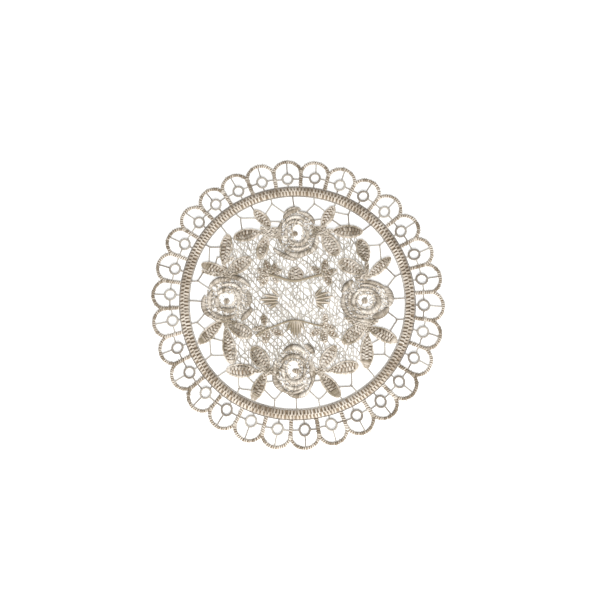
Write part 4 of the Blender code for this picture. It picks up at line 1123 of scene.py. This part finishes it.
def net_thread():
    """The finest thread, run across the open middle: a thin pale grey line."""
    return thread_material("cotton_thread_fine_net", "#cdc7be", "#bbb4aa", "#a19a8f", 0.65, 0.1)


def padding_painted_shade():
    """Threads run to and fro under the stitches: dull brown, painted shade for the little light that gets
    down to them.
    """
    return thread_material("cotton_underlay_painted_shade", "#94826c", "#7e6c57", "#685742", 0.8, 0.0)


def white_card():
    """Smooth card under the doily: a plain bright white, with a faint glow so that shade hardly greys it."""
    material = bpy.data.materials.new("white_card_smooth")
    material.use_nodes = True
    shader = material.node_tree.nodes["Principled BSDF"]
    shader.inputs["Base Color"].default_value = linear("#fbfbfa")
    shader.inputs["Roughness"].default_value = 0.8
    shader.inputs["Emission Color"].default_value = linear("#ffffff")
    shader.inputs["Emission Strength"].default_value = 0.17
    return material


# --- The scene, m -------------------------------------------------------------------------------------------

FLOOR_REACH = 2.0
FLOOR_DROP = 0.0002
Lamp = namedtuple("Lamp", "name place size power")
LAMPS = (Lamp("key", (0.10, -0.62, 0.46), 0.25, 7.0), Lamp("overhead", (-0.15, 0.2, 0.9), 0.8, 2.6))
ROOM_LIGHT = 0.44
CAMERA_PLACE = (0.01138, -0.04459, 0.33825)
CAMERA_BACK = (0.02589, -0.13076, 0.99108)  # the way that its back faces, 7.7 degrees off upright
LENS, SENSOR = 30.1, 36.0  # mm


def added(name, data, place):
    """A new object with its data at a place in the scene."""
    made = bpy.data.objects.new(name, data)
    made.location = place
    bpy.context.scene.collection.objects.link(made)
    return made


def stage():
    """Floor, lights, world and camera."""
    mesh = bpy.data.meshes.new("floor")
    corners = [(x * FLOOR_REACH, y * FLOOR_REACH, 0) for x, y in ((-1, -1), (1, -1), (1, 1), (-1, 1))]
    mesh.from_pydata(corners, [], [(0, 1, 2, 3)])
    mesh.materials.append(white_card())
    floor = added("floor", mesh, (0, 0, -FLOOR_DROP))
    for lamp in LAMPS:
        data = bpy.data.lights.new(lamp.name, "AREA")
        data.size, data.energy = lamp.size, lamp.power
        light = added(lamp.name, data, lamp.place)
        light.rotation_euler = (-Vector(lamp.place)).to_track_quat("-Z", "Y").to_euler()
    world = bpy.data.worlds.new("soft_room")
    world.use_nodes = True
    world.node_tree.nodes["Background"].inputs["Color"].default_value = linear("#ffffff")
    world.node_tree.nodes["Background"].inputs["Strength"].default_value = ROOM_LIGHT
    bpy.context.scene.world = world
    bpy.context.scene.view_settings.view_transform = "Standard"

    data = bpy.data.cameras.new("camera")
    data.lens, data.sensor_width = LENS, SENSOR
    camera = added("camera", data, CAMERA_PLACE)
    back = Vector(CAMERA_BACK).normalized()
    right = Vector((0, 1, 0)).cross(back).normalized()
    camera.rotation_euler = Matrix((right, back.cross(right), back)).transposed().to_euler()
    bpy.context.scene.camera = camera


def doily():
    """All pieces of the doily: each motif fills the gathered threads of the pieces that it is made of."""
    stitched, satin, cords = stitched_thread(), satin_thread(), cord_thread()
    materials = {
        "scallop_stitches": satin,
        "border_cords": cords,
        "band_stitches": band_thread(),
        "rose_petals": satin,
        "loose_threads": loose_thread(),
        "rose_spokes": cords,
        "leaf_edges": stitched,
        "sprig_stitches": stitched,
        "net": net_thread(),
        "bars": cords,
    }
    of = {name: Threads() for name in materials}
    ground = Threads()
    border(of["scallop_stitches"], of["border_cords"], ground)
    band(of["band_stitches"], of["border_cords"], ground)
    roses(of["rose_petals"], of["loose_threads"], of["rose_spokes"], ground)
    leaves(of["leaf_edges"], of["loose_threads"], ground)
    sprigs(of["sprig_stitches"], of["loose_threads"], ground)
    net(of["net"])
    bars(of["bars"])
    pieces = [of[name].piece(name, material) for name, material in materials.items()]
    # The underlay: its padding thread is brown painted shade where it shows between the stitches
    base = ground.piece("lace_underlay", padding_painted_shade())
    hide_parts("doily")


doily()
stage()
